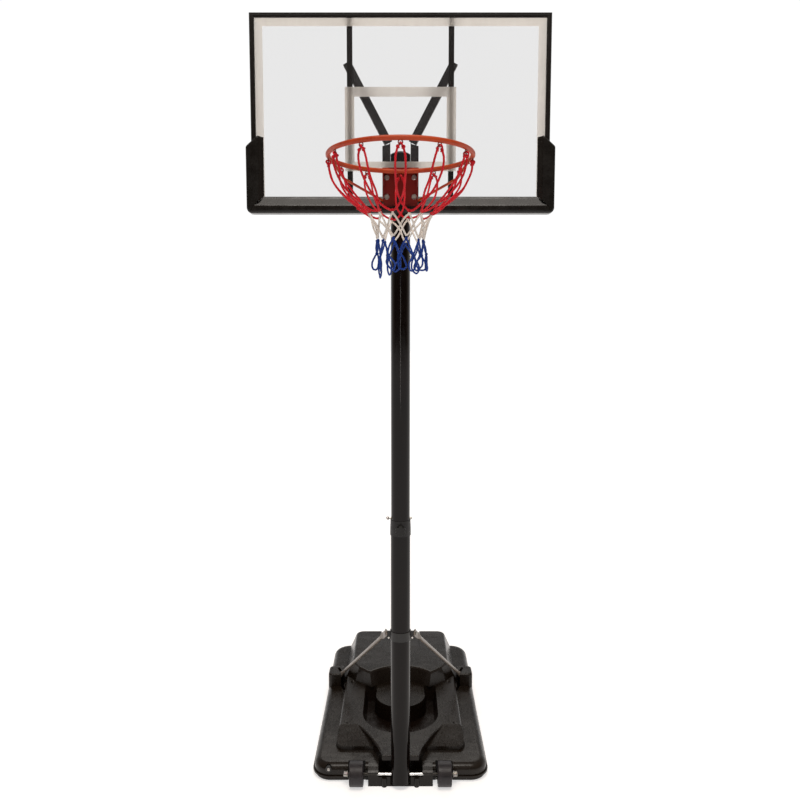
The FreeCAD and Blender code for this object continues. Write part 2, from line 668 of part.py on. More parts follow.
def rail(side):
    half = railSize / 2
    z0, z1 = boardBottom + frameW - 6, boardTop - frameW + 6
    x = side * railX
    bar = roundedBox(x - half, x + half, panelBack, panelBack + railSize, z0, z1, 2.0)
    hollow = half - 1.5
    bar = bar.cut(box(x - hollow, x + hollow, panelBack + 1.5, panelBack + railSize - 1.5, z0 - 1, z1 + 1))
    return bar.cut(rod(4.1, (side * armTopX, panelBack + 8, armTopZ), (side * armTopX, -20, armTopZ)))


def railScrews():
    """Screws through the frame bars into the ends of the rails."""
    screws = []
    y = panelBack + railSize / 2
    for side in (-1, 1):
        for edge, sign in ((boardBottom, 1), (boardTop, -1)):
            x = side * railX
            shank = rod(screwR, (x, y, edge - sign * 0.5), (x, y, edge + sign * (frameW + 4)))
            head = rod(5.0, (x, y, edge - sign * 2.8), (x, y, edge))
            screws.append(fuse([shank, head]))
    return group(screws)


# --- edge padding ---
def padBottom():
    """Foam pad under the board: flat front face with a wide bevel above it."""
    w = boardW / 2 + 18
    y0 = boardFront - 24.0
    yb = boardFront - 5.6
    z0, z1 = boardBottom - 3, boardBottom + 60
    wedge = prism([(-w, y0, z0), (-w, y0, z0 + 28), (-w, yb, z1), (-w, boardFront - 0.6, z1),
                   (-w, boardFront - 0.6, boardBottom + frameW + 0.2), (-w, boardFront - 5.6, boardBottom + frameW + 0.2),
                   (-w, boardFront - 5.6, boardBottom), (-w, boardFront + 20, boardBottom),
                   (-w, boardFront + 20, z0)], (2 * w, 0, 0))
    keep = prism([(-w, -130, z0), (w, -130, z0), (w - 64, -130, z0 + 64), (-w + 64, -130, z0 + 64)], (0, 160, 0))
    pad = filletWhere(wedge, 3, lambda e: midPoint(e).z < z0 + 0.1 and midPoint(e).y < y0 + 0.1).common(keep)
    pad = pad.cut(box(-plateHalf - 0.6, plateHalf + 0.6, -130, -50, plateBottom - 1, z1 + 1))
    braceFoot = [(plateHalf + 2, boardFront - 12, plateBottom + 22), (194, ringY + 150, rimHeight - 42)]
    y = panelBack + railSize / 2
    for side in (-1, 1):
        upright = box(boardW / 2 - frameW - 0.2, boardW / 2 + 0.2, boardFront - 5.6, 0, boardBottom - 0.2, boardTop)
        pad = pad.cut(upright if side > 0 else mirrorX(upright))
        pad = pad.cut(rod(5.3, (side * railX, y, z0 - 1), (side * railX, y, boardBottom + 1)))
        pad = pad.cut(rod(6.0, *[(side * x, y0, z) for x, y0, z in braceFoot]))
    return pad


def padSide(side):
    """Upright pad on the board's edge, chamfered at its upper end."""
    w = boardW / 2 + 18
    x1 = w
    y0 = boardFront - 24.0
    z0 = boardBottom - 3
    zTop = boardBottom + 278
    post = box(x1 - 64, x1, y0, boardFront - 0.6, z0, zTop)
    post = post.cut(box(boardW / 2 - frameW - 0.2, boardW / 2 + 0.1, boardFront - 5.6, 0, 0, 4000))
    wrap = box(boardW / 2 + 0.1, x1, boardFront - 5.6, boardFront + 20, z0, zTop - 20)
    pad = fuse([post, wrap])
    pad = pad.cut(prism([(x1 + 1, -150, zTop - 38), (x1 + 1, -150, zTop + 2), (x1 - 26, -150, zTop + 2)],
                        (0, 200, 0)))
    bevel = prism([(x1 - 64, y0, z0), (x1 - 64, boardFront - 5.6, z0), (x1 - 46, y0, z0)], (0, 0, 400))
    pad = pad.cut(bevel)
    pad = filletWhere(pad, 8, lambda e: isVertical(e) and midPoint(e).y < y0 + 0.1 and midPoint(e).x > x1 - 0.1)
    low = prism([(x1 + 2, -130, z0 - 1.5), (x1 - 66, -130, z0 + 66.5), (x1 - 66, -130, zTop + 5),
                 (x1 + 2, -130, zTop + 5)], (0, 200, 0))
    pad = pad.common(low)
    return pad if side > 0 else mirrorX(pad)


# --- rim ---
def rimRing():
    return Part.makeTorus(ringR, rodR, V(0, ringY, rimHeight), V(0, 0, 1))


def ringPoint(deg, radius=ringR, drop=0.0):
    a = math.radians(deg)
    return (radius * math.cos(a), ringY + radius * math.sin(a), rimHeight - drop)


def rimBracket():
    """Folded plate on the board, with a neck that carries the ring and two side gussets."""
    y0 = boardFront - 4.4
    plate = box(-plateHalf, plateHalf, y0, boardFront - 0.4, plateBottom, plateTop)
    plate = plate.cut(box(-15, 15, -150, 0, plateBottom - 1, plateBottom + 38))
    yr = ringY + ringR - 8
    neck = prism([(-plateHalf, y0 + 4, plateTop - 4), (-plateHalf, y0 + 4, plateTop),
                  (-plateHalf, yr, rimHeight + 11),
                  (-plateHalf, yr, rimHeight + 7)], (2 * plateHalf, 0, 0))
    gusset = prism([(0, y0 + 2, plateBottom + 8), (0, y0 - 3, plateBottom + 8), (0, y0 - 8, rimHeight - 30),
                    (0, ringY + ringR + 4, rimHeight - 2), (0, ringY + ringR + 4, rimHeight + 11),
                    (0, y0 + 2, plateTop - 1)], (3, 0, 0))
    shapes = [plate, neck]
    for x in (-plateHalf, plateHalf - 3):
        g = gusset.copy()
        g.translate(V(x, 0, 0))
        shapes.append(g)
    whole = fuse(shapes)
    for x in (-boltX, boltX):
        for z in (boltTopZ, boltLowZ):
            whole = whole.cut(rod(5.3, (x, -120, z), (x, -50, z)))
    return whole.cut(Part.makeTorus(ringR, rodR + 0.02, V(0, ringY, rimHeight), V(0, 0, 1)))


def bentRod(points, radius, bend):
    """Round rod through the points, with a curved bend at each inner one."""
    pts = [V(*p) for p in points]
    edges = []
    last = pts[0]
    for k in range(1, len(pts) - 1):
        a = (pts[k - 1] - pts[k]).normalize()
        b = (pts[k + 1] - pts[k]).normalize()
        half = a.getAngle(b) / 2
        setback = bend / math.tan(half)
        start, end = pts[k] + a * setback, pts[k] + b * setback
        centre = pts[k] + (a + b).normalize() * (bend / math.sin(half))
        mid = centre - (a + b).normalize() * bend
        edges += [Part.makeLine(last, start), Part.Arc(start, mid, end).toShape()]
        last = end
    edges.append(Part.makeLine(last, pts[-1]))
    path = Part.Wire(edges)
    profile = Part.Wire(Part.makeCircle(radius, pts[0], pts[1] - pts[0]))
    return path.makePipeShell([profile], True, True)


def rimBraces():
    """Two round braces from the back half of the ring down to the foot of the plate."""
    braces = []
    for side in (-1, 1):
        a = ringPoint(16, ringR, 5)
        pts = [(side * a[0], a[1], a[2]), (side * 194, ringY + 150, rimHeight - 42),
               (side * (plateHalf + 2), boardFront - 12, plateBottom + 22)]
        brace = bentRod(pts, 4.6, 26)
        brace = brace.cut(Part.makeTorus(ringR, rodR + 0.02, V(0, ringY, rimHeight), V(0, 0, 1)))
        brace = brace.cut(box(-plateHalf - 0.02, plateHalf + 0.02, -130, -60, 2000, 2600))
        braces.append(max(brace.Solids, key=lambda s: s.Volume))
    return group(braces)


def netHooks():
    """Twelve small wire eyes welded under the ring."""
    hooks = []
    for k in range(12):
        deg = -90 + 30 * k
        c = ringPoint(deg, ringR, rodR + 5.0)
        a = math.radians(deg)
        eye = Part.makeTorus(6.5, 1.75, V(*c), V(math.cos(a), math.sin(a), 0))
        eye = eye.cut(Part.makeTorus(ringR, rodR + 0.02, V(0, ringY, rimHeight), V(0, 0, 1)))
        hooks.append(max(eye.Solids, key=lambda s: s.Volume))
    return group(hooks)


def rimBolts():
    """Four bolts through the rim plate, the panel and the arm flanges."""
    bolts = []
    for x in (-boltX, boltX):
        for z in (boltTopZ, boltLowZ):
            y = boardFront - 4.4
            washer = tube(9.7, 5.0, (x, y - 2, z), (x, y, z))
            bolts.append(fuse([hexBolt((x, y - 2, z), (0, 1, 0), 5.0, 46, 16, 6.4), washer]))
            bolts.append(hexNut((x, flangeFront + armGauge, z), (0, -1, 0), 5.0, 16, 8.0))
    return group(bolts)


def rimSpacers():
    """Tubes round the rim bolts, between the panel and the arm flanges."""
    spacers = []
    for x in (-boltX, boltX):
        for z in (boltTopZ, boltLowZ):
            spacers.append(tube(10, 5.2, (x, panelBack, z), (x, flangeFront, z)))
    return group(spacers)


def platePad():
    """Thin rubber sheet between the rim plate and the panel."""
    sheet = box(-plateHalf, plateHalf, boardFront - 0.4, boardFront, plateBottom, plateTop)
    for x in (-boltX, boltX):
        for z in (boltTopZ, boltLowZ):
            sheet = sheet.cut(rod(5.3, (x, -120, z), (x, -50, z)))
    return sheet


# --- net: plain funnels with the net's outer shape ---
def netFunnel(profile, wall=3.0):
    """Thin open funnel. profile lists (radius, drop below the ring) from the top."""
    outer = [(r, rimHeight - d) for r, d in profile]
    inner = [(r - wall, rimHeight - d) for r, d in reversed(profile)]
    pts = [V(r, 0, z) for r, z in outer + inner]
    face = Part.Face(Part.makePolygon(pts + pts[:1]))
    funnel = face.revolve(V(0, 0, 0), V(0, 0, 1), 360)
    funnel.translate(V(0, ringY, 0))
    return funnel


def netUpper():
    return netFunnel([(226, 22), (224, 63), (206, 110), (176, 140), (138, 164), (102, 184)])


def netMiddle():
    return netFunnel([(102, 184.2), (86, 210), (76, 240), (75, 270)])


def netLower():
    return netFunnel([(75, 270.2), (77, 300), (83, 340), (86, 378)])


parts = {
    "base_tank": baseTank(), "water_ballast": ballast(), "drain_plug": drainPlug(),
    "wheel_axle": wheelAxle(), "axle_nuts": axleNuts(), "wheel_left": wheel(-1), "wheel_right": wheel(1),
    "lower_pole": lowerPole(), "pole_foot": poleFoot(), "pole_collar": collar(), "clamp_knob": clampKnob(),
    "middle_pole": middlePole(), "pole_glide": poleGlide(), "top_pole": topPole(), "pole_cap": poleCap(),
    "pole_joint_bolt": poleBolt(), "height_pin": heightPin(),
    "clamp_band": clampBand(), "clamp_bolts": clampBolts(), "strut_left": strut(-1), "strut_right": strut(1),
    "strut_bolts": strutBolts(),
    "arm_left": arm(-1), "arm_right": arm(1), "cross_bolts": crossBolts(), "arm_bolts": armBolts(),
    "board_panel": panel(), "border_print": borderPrint(), "target_print": targetPrint(),
    "frame_top": frameBar("top"), "frame_bottom": frameBar("bottom"),
    "frame_left": frameBar("left"), "frame_right": frameBar("right"),
    "rail_left": rail(-1), "rail_right": rail(1), "rail_screws": railScrews(),
    "pad_bottom": padBottom(), "pad_left": padSide(-1), "pad_right": padSide(1),
    "rim_ring": rimRing(), "rim_bracket": rimBracket(), "rim_braces": rimBraces(), "net_hooks": netHooks(),
    "rim_bolts": rimBolts(), "rim_spacers": rimSpacers(), "plate_gasket": platePad(),
    "net_upper": netUpper(), "net_middle": netMiddle(), "net_lower": netLower(),
}

for name, shape in parts.items():
    shape.exportStep("parts/%s.step" % name)
    box3 = shape.BoundBox
    print("%-16s %-5s solids %2d  x %7.1f %7.1f  y %7.1f %7.1f  z %7.1f %7.1f  vol %.0f" % (
        name, shape.isValid(), len(shape.Solids), box3.XMin, box3.XMax, box3.YMin, box3.YMax,
        box3.ZMin, box3.ZMax, shape.Volume))
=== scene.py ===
import math

import bmesh
import bpy
import numpy as np
from mathutils import Matrix, Vector


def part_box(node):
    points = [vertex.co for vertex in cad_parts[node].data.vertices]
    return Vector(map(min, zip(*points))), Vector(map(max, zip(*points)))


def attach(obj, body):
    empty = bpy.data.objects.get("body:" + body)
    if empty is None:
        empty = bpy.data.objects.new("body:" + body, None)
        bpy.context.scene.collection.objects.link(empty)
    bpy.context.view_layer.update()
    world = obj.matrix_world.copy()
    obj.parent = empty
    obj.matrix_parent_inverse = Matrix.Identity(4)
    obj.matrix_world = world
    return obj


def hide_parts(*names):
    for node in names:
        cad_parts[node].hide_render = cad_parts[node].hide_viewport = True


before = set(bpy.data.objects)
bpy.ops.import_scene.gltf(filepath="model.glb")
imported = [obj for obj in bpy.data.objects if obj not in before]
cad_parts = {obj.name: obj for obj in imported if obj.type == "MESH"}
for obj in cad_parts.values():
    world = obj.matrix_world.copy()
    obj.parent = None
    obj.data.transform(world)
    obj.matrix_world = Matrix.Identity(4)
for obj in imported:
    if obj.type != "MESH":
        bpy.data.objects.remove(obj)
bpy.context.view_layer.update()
draws = np.random.default_rng(27)
print("frame loaded,", len(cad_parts), "parts")


# small helpers for node trees
def makeNode(tree, kind, inputs=None, **settings):
    node = tree.nodes.new("ShaderNode" + kind)
    for key, value in settings.items():
        setattr(node, key, value)
    for key, value in (inputs or {}).items():
        if isinstance(value, bpy.types.NodeSocket):
            tree.links.new(value, node.inputs[key])
        else:
            node.inputs[key].default_value = value
    return node


def newFinish(name, **constants):
    finish = bpy.data.materials.new(name)
    finish.use_nodes = True
    tree = finish.node_tree
    shader = tree.nodes["Principled BSDF"]
    for key, value in constants.items():
        shader.inputs[key].default_value = value
    return finish, tree, shader


def placeIn(tree, stretch=(1, 1, 1)):
    # the part's own coordinates in metres, squeezed along an axis for brushed and drawn surfaces
    coords = makeNode(tree, "TexCoord").outputs["Object"]
    return makeNode(tree, "Mapping", {"Vector": coords, "Scale": stretch}).outputs["Vector"]


def grain(tree, place, scale, detail=3.0, rough=0.55):
    inputs = {"Vector": place, "Scale": scale, "Detail": detail, "Roughness": rough}
    return makeNode(tree, "TexNoise", inputs).outputs["Fac"]


def ramp(tree, factor, stops):
    node = makeNode(tree, "ValToRGB", {"Fac": factor})
    elements = node.color_ramp.elements
    while len(elements) < len(stops):
        elements.new(0.5)
    for element, (at, colour) in zip(elements, stops):
        element.position = at
        element.color = (*colour, 1)
    return node.outputs["Color"]


def spread(tree, factor, low, high, start=0.3, end=0.7):
    inputs = {"Value": factor, "From Min": start, "From Max": end, "To Min": low, "To Max": high}
    return makeNode(tree, "MapRange", inputs).outputs["Result"]


def blendColour(tree, factor, first, second):
    node = makeNode(tree, "Mix", data_type="RGBA")
    for socket, value in ((node.inputs[0], factor), (node.inputs[6], first), (node.inputs[7], second)):
        if isinstance(value, bpy.types.NodeSocket):
            tree.links.new(value, socket)
        else:
            socket.default_value = value if isinstance(value, float) else (*value, 1)
    return node.outputs[2]


def arith(tree, operation, first, second=0.0):
    return makeNode(tree, "Math", {0: first, 1: second}, operation=operation).outputs[0]


def bumps(tree, layers):
    # layers of (height, strength, depth in metres), coarse first
    normal = None
    for height, strength, depth in layers:
        inputs = {"Height": height, "Strength": strength, "Distance": depth}
        if normal is not None:
            inputs["Normal"] = normal
        normal = makeNode(tree, "Bump", inputs).outputs["Normal"]
    return normal


def upFacing(tree, start=0.35, end=0.95):
    # 1 on faces that look up, where dust settles and where some coats get a painted lit top
    normal = makeNode(tree, "NewGeometry").outputs["Normal"]
    z = makeNode(tree, "SeparateXYZ", {"Vector": normal}).outputs["Z"]
    return spread(tree, z, 0.0, 1.0, start, end)


def feed(tree, shader, colour=None, roughness=None, normal=None):
    for socket, value in (("Base Color", colour), ("Roughness", roughness), ("Normal", normal)):
        if value is not None:
            tree.links.new(value, shader.inputs[socket])


# finishes: a dictionary for each family, beside the code that uses it
plasticKinds = {
    # dark and light of the colour, roughness range, grain size per metre, dust colour and amount
    "tankPlastic": dict(dark=(0.0058, 0.0038, 0.0025), light=(0.0125, 0.0088, 0.006), rough=(0.2, 0.32),
                        grain=620, wave=13, waveDepth=0.004, dustAndLitTop=(0.03, 0.0225, 0.015), dustAndLitTopShare=0.24, shine=0.25,
                        # the last colour is a painted shade for the deep well
                        wellShade=(0.0085, 0.0045, 0.003)),
    "mouldedBlack": dict(dark=(0.006, 0.0055, 0.0055), light=(0.013, 0.012, 0.012), rough=(0.34, 0.5),
                         grain=900, wave=60, waveDepth=0.0006, dustAndLitTop=(0.05, 0.05, 0.048), dustAndLitTopShare=0.2, shine=0.3),
    "knobPlastic": dict(dark=(0.006, 0.0057, 0.0054), light=(0.015, 0.0145, 0.014), rough=(0.34, 0.5),
                        grain=1100, wave=80, waveDepth=0.0005, dustAndLitTop=(0.05, 0.05, 0.046), dustAndLitTopShare=0.2, shine=0.25),
    "capPlastic": dict(dark=(0.011, 0.0115, 0.016), light=(0.022, 0.023, 0.03), rough=(0.36, 0.5), grain=800,
                       wave=50, waveDepth=0.0006, dustAndLitTop=(0.06, 0.06, 0.07), dustAndLitTopShare=0.2, shine=0.4),
    "naturalNylon": dict(dark=(0.2, 0.2, 0.19), light=(0.3, 0.3, 0.285), rough=(0.42, 0.55), grain=900,
                         wave=60, waveDepth=0.0005, dustAndLitTop=(0.3, 0.3, 0.29), dustAndLitTopShare=0.1, shine=0.5),
    "plugPlastic": dict(dark=(0.55, 0.54, 0.51), light=(0.75, 0.74, 0.71), rough=(0.38, 0.5), grain=1000,
                        wave=70, waveDepth=0.0005, dustAndLitTop=(0.5, 0.47, 0.42), dustAndLitTopShare=0.3, shine=0.5,
                        # the pale colours above are a painted glint kept to the middle, the rim colour is the
                        # plug's own
                        glintEdge=(0.005, 0.0065), rim=(0.014, 0.013, 0.012)),
}


def plasticFinish(name):
    kind = plasticKinds[name]
    finish, tree, shader = newFinish(name, **{"IOR": 1.5, "Specular IOR Level": kind["shine"]})
    place = placeIn(tree)
    broad = grain(tree, place, 5.0, 4.0, 0.6)
    fine = grain(tree, place, kind["grain"], 2.0)
    peel = grain(tree, place, kind["grain"] / 4.5, 2.0)
    wave = grain(tree, place, kind["wave"], 2.0, 0.4)
    scuff = grain(tree, placeIn(tree, (1, 0.25, 1)), 90, 5.0, 0.7)
    colour = ramp(tree, broad, [(0.3, kind["dark"]), (0.7, kind["light"])])
    speck = spread(tree, fine, 0.0, 0.12, 0.55, 0.8)
    colour = blendColour(tree, speck, colour, tuple(c * 1.8 for c in kind["light"]))
    topBlotches = spread(tree, scuff, 0.35 * kind["dustAndLitTopShare"], kind["dustAndLitTopShare"])
    dustAndLitTopShare = arith(tree, "MULTIPLY", upFacing(tree), topBlotches)
    colour = blendColour(tree, dustAndLitTopShare, colour, kind["dustAndLitTop"])
    if name == "tankPlastic":
        # painted shade: the deep well is darkened towards its floor and back, where shade falls
        spot = makeNode(tree, "SeparateXYZ", {"Vector": place})
        deep = spread(tree, spot.outputs["Z"], 1.0, 0.0, 0.075, 0.118)
        inside = spread(tree, arith(tree, "ABSOLUTE", spot.outputs["X"]), 1.0, 0.0, 0.16, 0.2)
        behind = spread(tree, spot.outputs["Y"], 0.0, 1.0, 0.12, 0.2)
        wellShade = arith(tree, "MULTIPLY", arith(tree, "MULTIPLY", deep, inside), behind)
        colour = blendColour(tree, arith(tree, "MULTIPLY", wellShade, 0.85), colour, kind["wellShade"])
    if name == "plugPlastic":
        # painted highlight: only a small disc in the middle is pale and stands for a glint, the plug round it is
        # dark
        spot = makeNode(tree, "SeparateXYZ", {"Vector": place})
        plugLow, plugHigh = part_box("drain_plug")
        offX = arith(tree, "SUBTRACT", spot.outputs["X"], (plugLow.x + plugHigh.x) / 2)
        offZ = arith(tree, "SUBTRACT", spot.outputs["Z"], (plugLow.z + plugHigh.z) / 2)
        squares = [arith(tree, "MULTIPLY", off, off) for off in (offX, offZ)]
        away = arith(tree, "SQRT", arith(tree, "ADD", *squares))
        colour = blendColour(tree, spread(tree, away, 0.0, 1.0, *kind["glintEdge"]), colour, kind["rim"])
    scuffed = spread(tree, scuff, -0.03, 0.09, 0.4, 0.75)
    roughness = arith(tree, "ADD", spread(tree, broad, *kind["rough"]), scuffed)
    normal = bumps(tree, [(wave, 0.5, kind["waveDepth"]), (peel, 0.16, 0.0006), (fine, 0.18, 0.00025)])
    feed(tree, shader, colour, roughness, normal)
    return finish


coatKinds = {
    # colour, its faded shade, roughness range, orange peel size per metre and strength, then the up-facing
    # colour and its share: dust on the black coats, a painted lit top on the strut, rim and bracket
    "glossBlack": dict(colour=(0.0028, 0.0017, 0.0013), faded=(0.0056, 0.0036, 0.003), rough=(0.07, 0.14),
                       peel=240, strength=0.05, dustAndLitTop=(0.022, 0.016, 0.013), dustAndLitTopShare=0.1, shine=0.2),
    "bandBlack": dict(colour=(0.008, 0.0078, 0.0078), faded=(0.02, 0.0192, 0.0185), rough=(0.25, 0.42),
                      peel=420, strength=0.2, dustAndLitTop=(0.07, 0.065, 0.06), dustAndLitTopShare=0.25, shine=0.35),
    "railBlack": dict(colour=(0.0028, 0.0022, 0.0022), faded=(0.0055, 0.0045, 0.0045), rough=(0.32, 0.46),
                      peel=420, strength=0.15, dustAndLitTop=(0.02, 0.018, 0.018), dustAndLitTopShare=0.1, shine=0.12),
    "armBlack": dict(colour=(0.009, 0.0088, 0.0105), faded=(0.0175, 0.017, 0.018), rough=(0.34, 0.5), peel=500,
                     strength=0.3, dustAndLitTop=(0.06, 0.06, 0.06), dustAndLitTopShare=0.2, shine=0.2),
    "strutGrey": dict(colour=(0.125, 0.103, 0.083), faded=(0.19, 0.16, 0.132), rough=(0.24, 0.4),
                      # the up-facing colour here is a painted lit top
                      peel=300, strength=0.1, dustAndLitTop=(0.3, 0.26, 0.22), dustAndLitTopShare=0.4, shine=0.5),
    "rimOrange": dict(colour=(0.28, 0.025, 0.005), faded=(0.38, 0.048, 0.008), rough=(0.26, 0.4),
                      # the up-facing colour here is a painted lit top
                      peel=300, strength=0.16, dustAndLitTop=(0.5, 0.095, 0.02), dustAndLitTopShare=0.6, shine=0.22),
    "bracketRed": dict(colour=(0.15, 0.0075, 0.0055), faded=(0.21, 0.0135, 0.0085), rough=(0.3, 0.45),
                       # the up-facing colour here is a painted lit top
                       peel=300, strength=0.18, dustAndLitTop=(0.4, 0.06, 0.03), dustAndLitTopShare=0.4, shine=0.22),
}


def coatFinish(name):
    kind = coatKinds[name]
    finish, tree, shader = newFinish(name, **{"IOR": 1.5, "Specular IOR Level": kind["shine"]})
    place = placeIn(tree)
    broad = grain(tree, place, 7.0, 4.0, 0.6)
    peel = grain(tree, place, kind["peel"], 2.0)
    fine = grain(tree, place, kind["peel"] * 3.5, 3.0)
    rub = grain(tree, placeIn(tree, (1, 1, 0.2)), 70, 5.0, 0.7)
    colour = ramp(tree, broad, [(0.3, kind["colour"]), (0.75, kind["faded"])])
    chips = spread(tree, grain(tree, place, 160, 5.0, 0.75), 0.0, 0.6, 0.70, 0.74)
    colour = blendColour(tree, chips, colour, kind["faded"])
    # up-facing faces blend towards a lighter colour: dust on the black coats, a painted lit top on the strut,
    # rim and bracket
    topBlotches = spread(tree, rub, 0.3 * kind["dustAndLitTopShare"], kind["dustAndLitTopShare"])
    dustAndLitTopShare = arith(tree, "MULTIPLY", upFacing(tree, 0.1, 0.9), topBlotches)
    colour = blendColour(tree, dustAndLitTopShare, colour, kind["dustAndLitTop"])
    rubbed = spread(tree, rub, -0.02, 0.07, 0.4, 0.75)
    roughness = arith(tree, "ADD", spread(tree, broad, *kind["rough"]), rubbed)
    normal = bumps(tree, [(peel, kind["strength"], 0.0008), (fine, kind["strength"] * 0.6, 0.0002)])
    feed(tree, shader, colour, roughness, normal)
    return finish


metalKinds = {
    # dark and light of the metal, roughness range, squeeze of the brush marks along an axis
    "zincPlate": dict(dark=(0.36, 0.345, 0.31), light=(0.62, 0.60, 0.56), rough=(0.24, 0.42), brush=(1, 1, 1)),
    "dullZinc": dict(dark=(0.2, 0.19, 0.175), light=(0.36, 0.345, 0.32), rough=(0.36, 0.55), brush=(1, 1, 1)),
    "axleSteel": dict(dark=(0.72, 0.72, 0.71), light=(0.9, 0.9, 0.89), rough=(0.16, 0.26), brush=(0.04, 1, 1),
                      # the outer colour is a painted shade for the axle's outer parts
                      outerShadeFrom=(0.086, 0.098), outerShade=(0.05, 0.047, 0.043), outerRough=0.25),
    "spacerSteel": dict(dark=(0.22, 0.22, 0.22), light=(0.36, 0.36, 0.35), rough=(0.3, 0.45),
                        brush=(1, 0.06, 1)),
}


def metalFinish(name):
    kind = metalKinds[name]
    finish, tree, shader = newFinish(name, **{"Metallic": 1.0})
    spangle = makeNode(tree, "TexVoronoi", {"Vector": placeIn(tree), "Scale": 420.0}).outputs["Color"]
    patch = grain(tree, placeIn(tree), 45, 4.0, 0.65)
    brushed = grain(tree, placeIn(tree, kind["brush"]), 1600, 3.0)
    colour = ramp(tree, patch, [(0.3, kind["dark"]), (0.65, kind["light"])])
    colour = blendColour(tree, 0.08, colour, spangle)
    roughness = spread(tree, patch, kind["rough"][1], kind["rough"][0])
    if name == "axleSteel":
        # painted shade: darker further out from the pole, and rougher there
        outward = makeNode(tree, "SeparateXYZ", {"Vector": placeIn(tree)}).outputs["X"]
        outerShadeMask = spread(tree, arith(tree, "ABSOLUTE", outward), 0.0, 1.0, *kind["outerShadeFrom"])
        colour = blendColour(tree, outerShadeMask, colour, kind["outerShade"])
        roughness = arith(tree, "ADD", roughness, arith(tree, "MULTIPLY", outerShadeMask, kind["outerRough"]))
    feed(tree, shader, colour, roughness, bumps(tree, [(patch, 0.2, 0.0004), (brushed, 0.25, 0.0002)]))
    return finish


def extrusionFinish(name, brush):
    # black anodised bar: die lines run along it
    finish, tree, shader = newFinish(name, **{"IOR": 1.5, "Specular IOR Level": 0.25})
    lines = grain(tree, placeIn(tree, brush), 900, 3.0, 0.6)
    broad = grain(tree, placeIn(tree), 9, 3.0)
    colour = ramp(tree, lines, [(0.3, (0.0036, 0.003, 0.0028)), (0.75, (0.009, 0.0078, 0.0072))])
    patchy = spread(tree, broad, -0.03, 0.05)
    roughness = arith(tree, "ADD", spread(tree, lines, 0.2, 0.32), patchy)
    feed(tree, shader, colour, roughness, bumps(tree, [(lines, 0.3, 0.0002)]))
    return finish


def wheelFinish():
    finish, tree, shader = newFinish("wheelPlastic", **{"IOR": 1.5, "Specular IOR Level": 0.35})
    place = placeIn(tree)
    across = makeNode(tree, "SeparateXYZ", {"Vector": place}).outputs["X"]
    swirl = grain(tree, place, 38, 5.0, 0.7)
    fine = grain(tree, place, 800, 2.0)
    ribs = arith(tree, "SINE", arith(tree, "MULTIPLY", across, 900.0))
    colour = ramp(tree, swirl, [(0.3, (0.0105, 0.0088, 0.0105)), (0.7, (0.024, 0.02, 0.0235))])
    colour = blendColour(tree, spread(tree, fine, 0.0, 0.4, 0.6, 0.75), colour, (0.07, 0.064, 0.066))
    roughness = spread(tree, swirl, 0.3, 0.5)
    normal = bumps(tree, [(ribs, 0.08, 0.0004), (swirl, 0.3, 0.0008), (fine, 0.3, 0.0002)])
    feed(tree, shader, colour, roughness, normal)
    return finish


rubberKinds = {
    # dark and light of the colour, roughness range, pebble size per metre
    "padFoam": dict(dark=(0.0034, 0.0028, 0.0023), light=(0.0068, 0.006, 0.005), rough=(0.2, 0.3), pebble=520),
    "gasketRubber": dict(dark=(0.012, 0.012, 0.012), light=(0.024, 0.024, 0.024), rough=(0.6, 0.75), pebble=800),
}


def rubberFinish(name):
    kind = rubberKinds[name]
    finish, tree, shader = newFinish(name, **{"IOR": 1.5, "Specular IOR Level": 0.3})
    place = placeIn(tree)
    cells = makeNode(tree, "TexVoronoi", {"Vector": place, "Scale": kind["pebble"]}).outputs["Distance"]
    skin = grain(tree, place, 26, 4.0, 0.6)
    fine = grain(tree, place, 1500, 2.0)
    crease = grain(tree, placeIn(tree, (0.3, 1, 1)), 40, 4.0, 0.7)
    colour = ramp(tree, skin, [(0.3, kind["dark"]), (0.75, kind["light"])])
    worn = tuple(c * 1.9 for c in kind["light"])
    colour = blendColour(tree, spread(tree, crease, 0.0, 0.5, 0.62, 0.72), colour, worn)
    roughness = arith(tree, "ADD", spread(tree, skin, *kind["rough"]), spread(tree, fine, -0.04, 0.06))
    layers = [(skin, 0.35, 0.0012), (crease, 0.2, 0.0008), (cells, 0.2, 0.0003), (fine, 0.15, 0.0001)]
    normal = bumps(tree, layers)
    feed(tree, shader, colour, roughness, normal)
    return finish


def panelFinish():
    # clear sheet: faint grey over what is behind it, with handling marks
    finish, tree, shader = newFinish("clearSheet", **{"IOR": 1.5, "Alpha": 0.12})
    place = placeIn(tree)
    smear = grain(tree, placeIn(tree, (1, 1, 0.5)), 3.2, 5.0, 0.6)
    marks = grain(tree, place, 60, 6.0, 0.75)
    colour = ramp(tree, smear, [(0.35, (0.050, 0.049, 0.051)), (0.7, (0.066, 0.065, 0.067))])
    roughness = arith(tree, "ADD", spread(tree, smear, 0.03, 0.08), spread(tree, marks, 0.0, 0.1, 0.62, 0.8))
    feed(tree, shader, colour, roughness, bumps(tree, [(smear, 0.05, 0.0006)]))
    return finish


